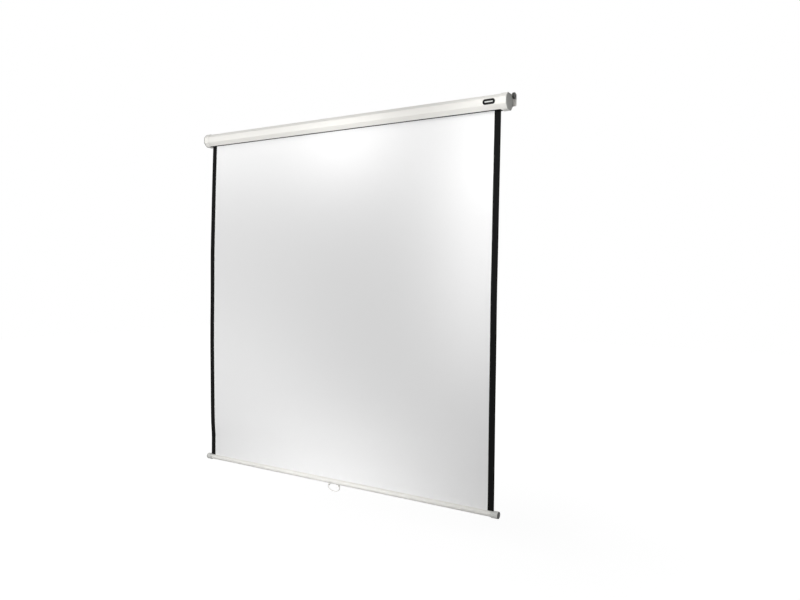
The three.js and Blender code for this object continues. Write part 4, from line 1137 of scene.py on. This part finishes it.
class SCREEN_OT_nameplate(Operator):
    """Fit the bare plate near the right end of the case: a dark ring round a satin inlay"""

    bl_idname = "screen.nameplate"
    bl_label = "Nameplate"

    def execute(self, context):
        longer, taller, wider_ring = 0.3 * MM, 2.1 * MM, 3.1 * MM
        shift_x, shift_z = -1.3 * MM, -0.1 * MM
        lip, soft, draft = 0.6 * MM, 0.2 * MM, 0.4 * MM
        half_x, half_z = size("nameplate", X) / 2 + longer, size("nameplate", Z) / 2 + taller
        corner, rim = PLATE_CORNER + taller, PLATE_RIM + wider_ring

        def outline(inset):
            x, z, r = half_x - inset, half_z - inset, corner - inset
            turns = ((x - r, r - z, -90), (x - r, z - r, 0), (r - x, z - r, 90), (r - x, r - z, 180))
            return [Vector(p) for cx, cz, start in turns for p in arc(cx, cz, r, start, start + 90, 8)]

        front, back = span("nameplate", Y)
        eased = 0.3 * soft
        rings = [
            (back, outline(0)), (front + soft, outline(0)), (front + eased, outline(eased)),
            (front, outline(soft)), (front, outline(rim - soft)),
            (front + eased, outline(rim - eased)), (front + lip, outline(rim + draft)),
        ]
        place = along_y(middle("nameplate", X) + shift_x, middle("nameplate", Z) + shift_z)
        piece = shade(loft("plate_blank", rings, place))
        settle(piece, "case", "dark_plastic", "nameplate", material=dark_plate())
        piece.data.materials.append(plate_inlay())
        for face in piece.data.polygons:
            if face.normal.y < -0.9 and abs(face.center.y - front - lip) < SAME_PLACE:
                face.material_index = 1
        return {"FINISHED"}


class SCREEN_OT_bottom_bar(Operator):
    """Make the slit bottom tube and its flared end caps with their dark discs"""

    bl_idname = "screen.bottom_bar"
    bl_label = "Bottom bar"

    def execute(self, context):
        bar = context.scene.screen_bar
        place = along_x(SHEET_Y, BAR_Z)
        radius = BAR_RADIUS - bar.wall / 2
        opening = math.degrees(math.asin(bar.slit / 2 / radius))
        path = [Vector(p) for p in arc(0, 0, radius, 90 + opening, 450 - opening, 72)]
        tube = sheet_metal("bar_tube", path, bar.wall, *span("bottom_tube", X), place)
        settle(shade(tube), "bar", "white_paint", "bottom_tube")
        for side, sign in SIDES:
            self.add_end(bar, side, sign, place)
            self.add_disc(bar, side, sign, place)
        return {"FINISHED"}

    def add_end(self, bar, side, sign, place):
        """A moulded cap: a thin lip over the tube, a smooth flare, a barrel and a soft outer rim."""
        node = "bar_cap_" + side
        mouth, face = outward_span(node, sign)
        radius, clear = size(node, Z) / 2, 0.3 * MM
        bore, hole, wall, soft = BAR_RADIUS + clear, 8.3 * MM, 3 * MM, 1.0 * MM
        lip, flare = 0.8 * MM, 6 * MM
        profile = [
            (mouth, bore),
            *(
                (mouth + flare * t, bore + lip + (radius - bore - lip) * (3 - 2 * t) * t * t)
                for t in (i / 10 for i in range(11))
            ),
            *arc(face - soft, radius - soft, soft, 90, 0, 5),
            (face, hole), (face - wall, hole), (face - wall, bore),
        ]
        piece = turned("bar_end_" + side, profile, place, bar.sides, sign, closed=True)
        reach, floor = 30 * MM, bore + bar.notch_wall
        x = sign * (SHEET_HALF + clear - reach / 2)
        cut(piece, block("slit", (reach, bar.slit, 2 * radius), (x, SHEET_Y, BAR_Z + radius)))
        cut(piece, block("notch", (reach, 2 * radius, radius), (x, SHEET_Y, BAR_Z + floor + radius / 2)))
        settle(shade(piece), "bar", "grey_plastic", node)

    def add_disc(self, bar, side, sign, place):
        """The dark plug in the cap's end, slightly domed."""
        node = "bar_plug_" + side
        root, crown = outward_span(node, sign)
        radius, stem, rise, edge = size(node, Z) / 2, 8 * MM, 2.6 * MM, 0.9 * MM
        seat, sag = crown - rise, 0.9 * edge
        profile = [
            (root, 0.0), (root, stem), (seat, stem), (seat, radius),
            *arc(seat + rise - 2 * edge, radius - edge, edge, 90, 20, 4),
            *((crown - sag * (r / radius) ** 2, r) for r in
              ((radius - edge) * (1 - i / 8) for i in range(9))),
        ]
        piece = turned("bar_disc_" + side, profile, place, bar.sides, sign)
        settle(shade(piece), "bar", "dark_plastic", node)


class SCREEN_OT_handle(Operator):
    """Bend the pull handle and rivet its two lugs under the bar"""

    bl_idname = "screen.handle"
    bl_label = "Handle"

    def execute(self, context):
        self.bend_handle(context.scene.screen_handle)
        edge = 0.4 * MM
        for side, _ in SIDES:
            node = "handle_lug_" + side
            settle(softened(node, "lug_" + side, edge), "bar", "white_paint", node)
        self.add_rivets()
        return {"FINISHED"}

    def bend_handle(self, handle):
        """A rod from one lug down, across in a bow, and up to the other."""
        low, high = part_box("pull_handle")
        leg = (high.x - low.x) / 2 - handle.wire
        pivot = high.z - handle.wire
        depth = pivot - low.z - handle.wire
        bend = handle.bend / 2
        bow_height_share, bow_width_share = 0.72, 0.62
        bow = [
            (leg, -handle.leg), (leg, -bow_height_share * depth), (bow_width_share * leg, -depth),
            (0, -depth),
        ]
        half = [
            Vector((leg - handle.stub, 0)), Vector((leg - bend, 0)),
            *bezier([(leg - bend, 0), (leg, 0), (leg, -bend)], 8),
            Vector((leg, -handle.leg)), *bezier(bow, 28),
        ]
        path = without_doubles(half + [Vector((-p.x, p.y)) for p in reversed(half[:-1])])
        points = [Vector((p.x, SHEET_Y, pivot + p.y)) for p in path]
        piece = mesh_object("pull_loop", points, [], [(i, i + 1) for i in range(len(points) - 1)])
        run_tree(piece, "Bent rod", {
            "Radius": handle.wire, "Sides": 24, "Material": finish_of("white_plastic")})
        settle(shade(face_outwards(piece), angle=50), "handle", "white_plastic", "pull_handle")

    def add_rivets(self):
        """Domed heads below, and a chamfered tail inside the bar."""
        nodes = ["lug_rivet_left", "lug_rivet_right"]
        length, head, shank, rise = size(nodes[0], Z), size(nodes[0], X) / 2, 1.4 * MM, 1.2 * MM
        tail, tail_edge, tail_chamfer = 0.6 * MM, 0.2 * MM, 0.4 * MM
        dome = [math.radians(12 * i) for i in range(1, 8)]
        profile = [
            (0.0, 0.0), *((rise * (1 - math.cos(a)), head * math.sin(a)) for a in dome),
            (rise, head), (rise, shank), (length - tail, shank), (length - tail, head),
            (length - tail_edge, head), (length, head - tail_chamfer), (length, 0.0),
        ]
        template = turned("rivet", profile, along_z(), sides=32)
        places = [Vector((middle(n, X), middle(n, Y), span(n, Z)[0])) for n in nodes]
        fasteners("lug_rivets", "bar", nodes, template, places, tilt=(0, 0, 0), seed=7)


class SCREEN_OT_inner_parts(Operator):
    """Finish the roller, the spring motor, the ratchet lock and the hem, which keep their own shapes"""

    bl_idname = "screen.inner_parts"
    bl_label = "Inner parts"

    def execute(self, context):
        slots = {row["node"]: row["material_slot"] for row in frame["record"]["subparts"]}
        for name, node in frame["nodes"].items():
            if node.hide_render:
                continue
            node.data.materials.clear()
            node.data.materials.append(finish_of(slots[name]))
        return {"FINISHED"}


class SCREEN_PT_panel(Panel):
    """Lists the pieces of the screen in the sidebar"""

    bl_label = "Projection screen"
    bl_idname = "SCREEN_PT_panel"
    bl_space_type = "VIEW_3D"
    bl_region_type = "UI"
    bl_category = "Screen"

    def draw(self, context):
        for operator in OPERATORS:
            self.layout.operator(operator.bl_idname)
        for name in SETTINGS:
            group = getattr(context.scene, name)
            box = self.layout.box()
            for key in group.__annotations__:
                box.prop(group, key)


OPERATORS = [
    SCREEN_OT_studio,
    SCREEN_OT_sheet,
    SCREEN_OT_case,
    SCREEN_OT_end_caps,
    SCREEN_OT_brackets,
    SCREEN_OT_nameplate,
    SCREEN_OT_bottom_bar,
    SCREEN_OT_handle,
    SCREEN_OT_inner_parts,
]


def register():
    for group in [*SETTINGS.values(), *OPERATORS, SCREEN_PT_panel]:
        bpy.utils.register_class(group)
    for name, group in SETTINGS.items():
        setattr(bpy.types.Scene, name, PointerProperty(type=group))


def unregister():
    for name in SETTINGS:
        delattr(bpy.types.Scene, name)
    for group in [SCREEN_PT_panel, *reversed(OPERATORS), *SETTINGS.values()]:
        bpy.utils.unregister_class(group)


def main():
    register()
    for make in (make_coating_group, make_weave_group, make_brushing_group, make_fastener_tree,
                 make_rod_tree):
        make()
    bpy.ops.screen.studio()
    bpy.ops.screen.sheet()
    bpy.ops.screen.case()
    bpy.ops.screen.end_caps()
    bpy.ops.screen.brackets()
    bpy.ops.screen.nameplate()
    bpy.ops.screen.bottom_bar()
    bpy.ops.screen.handle()
    bpy.ops.screen.inner_parts()


if __name__ == "__main__":
    main()
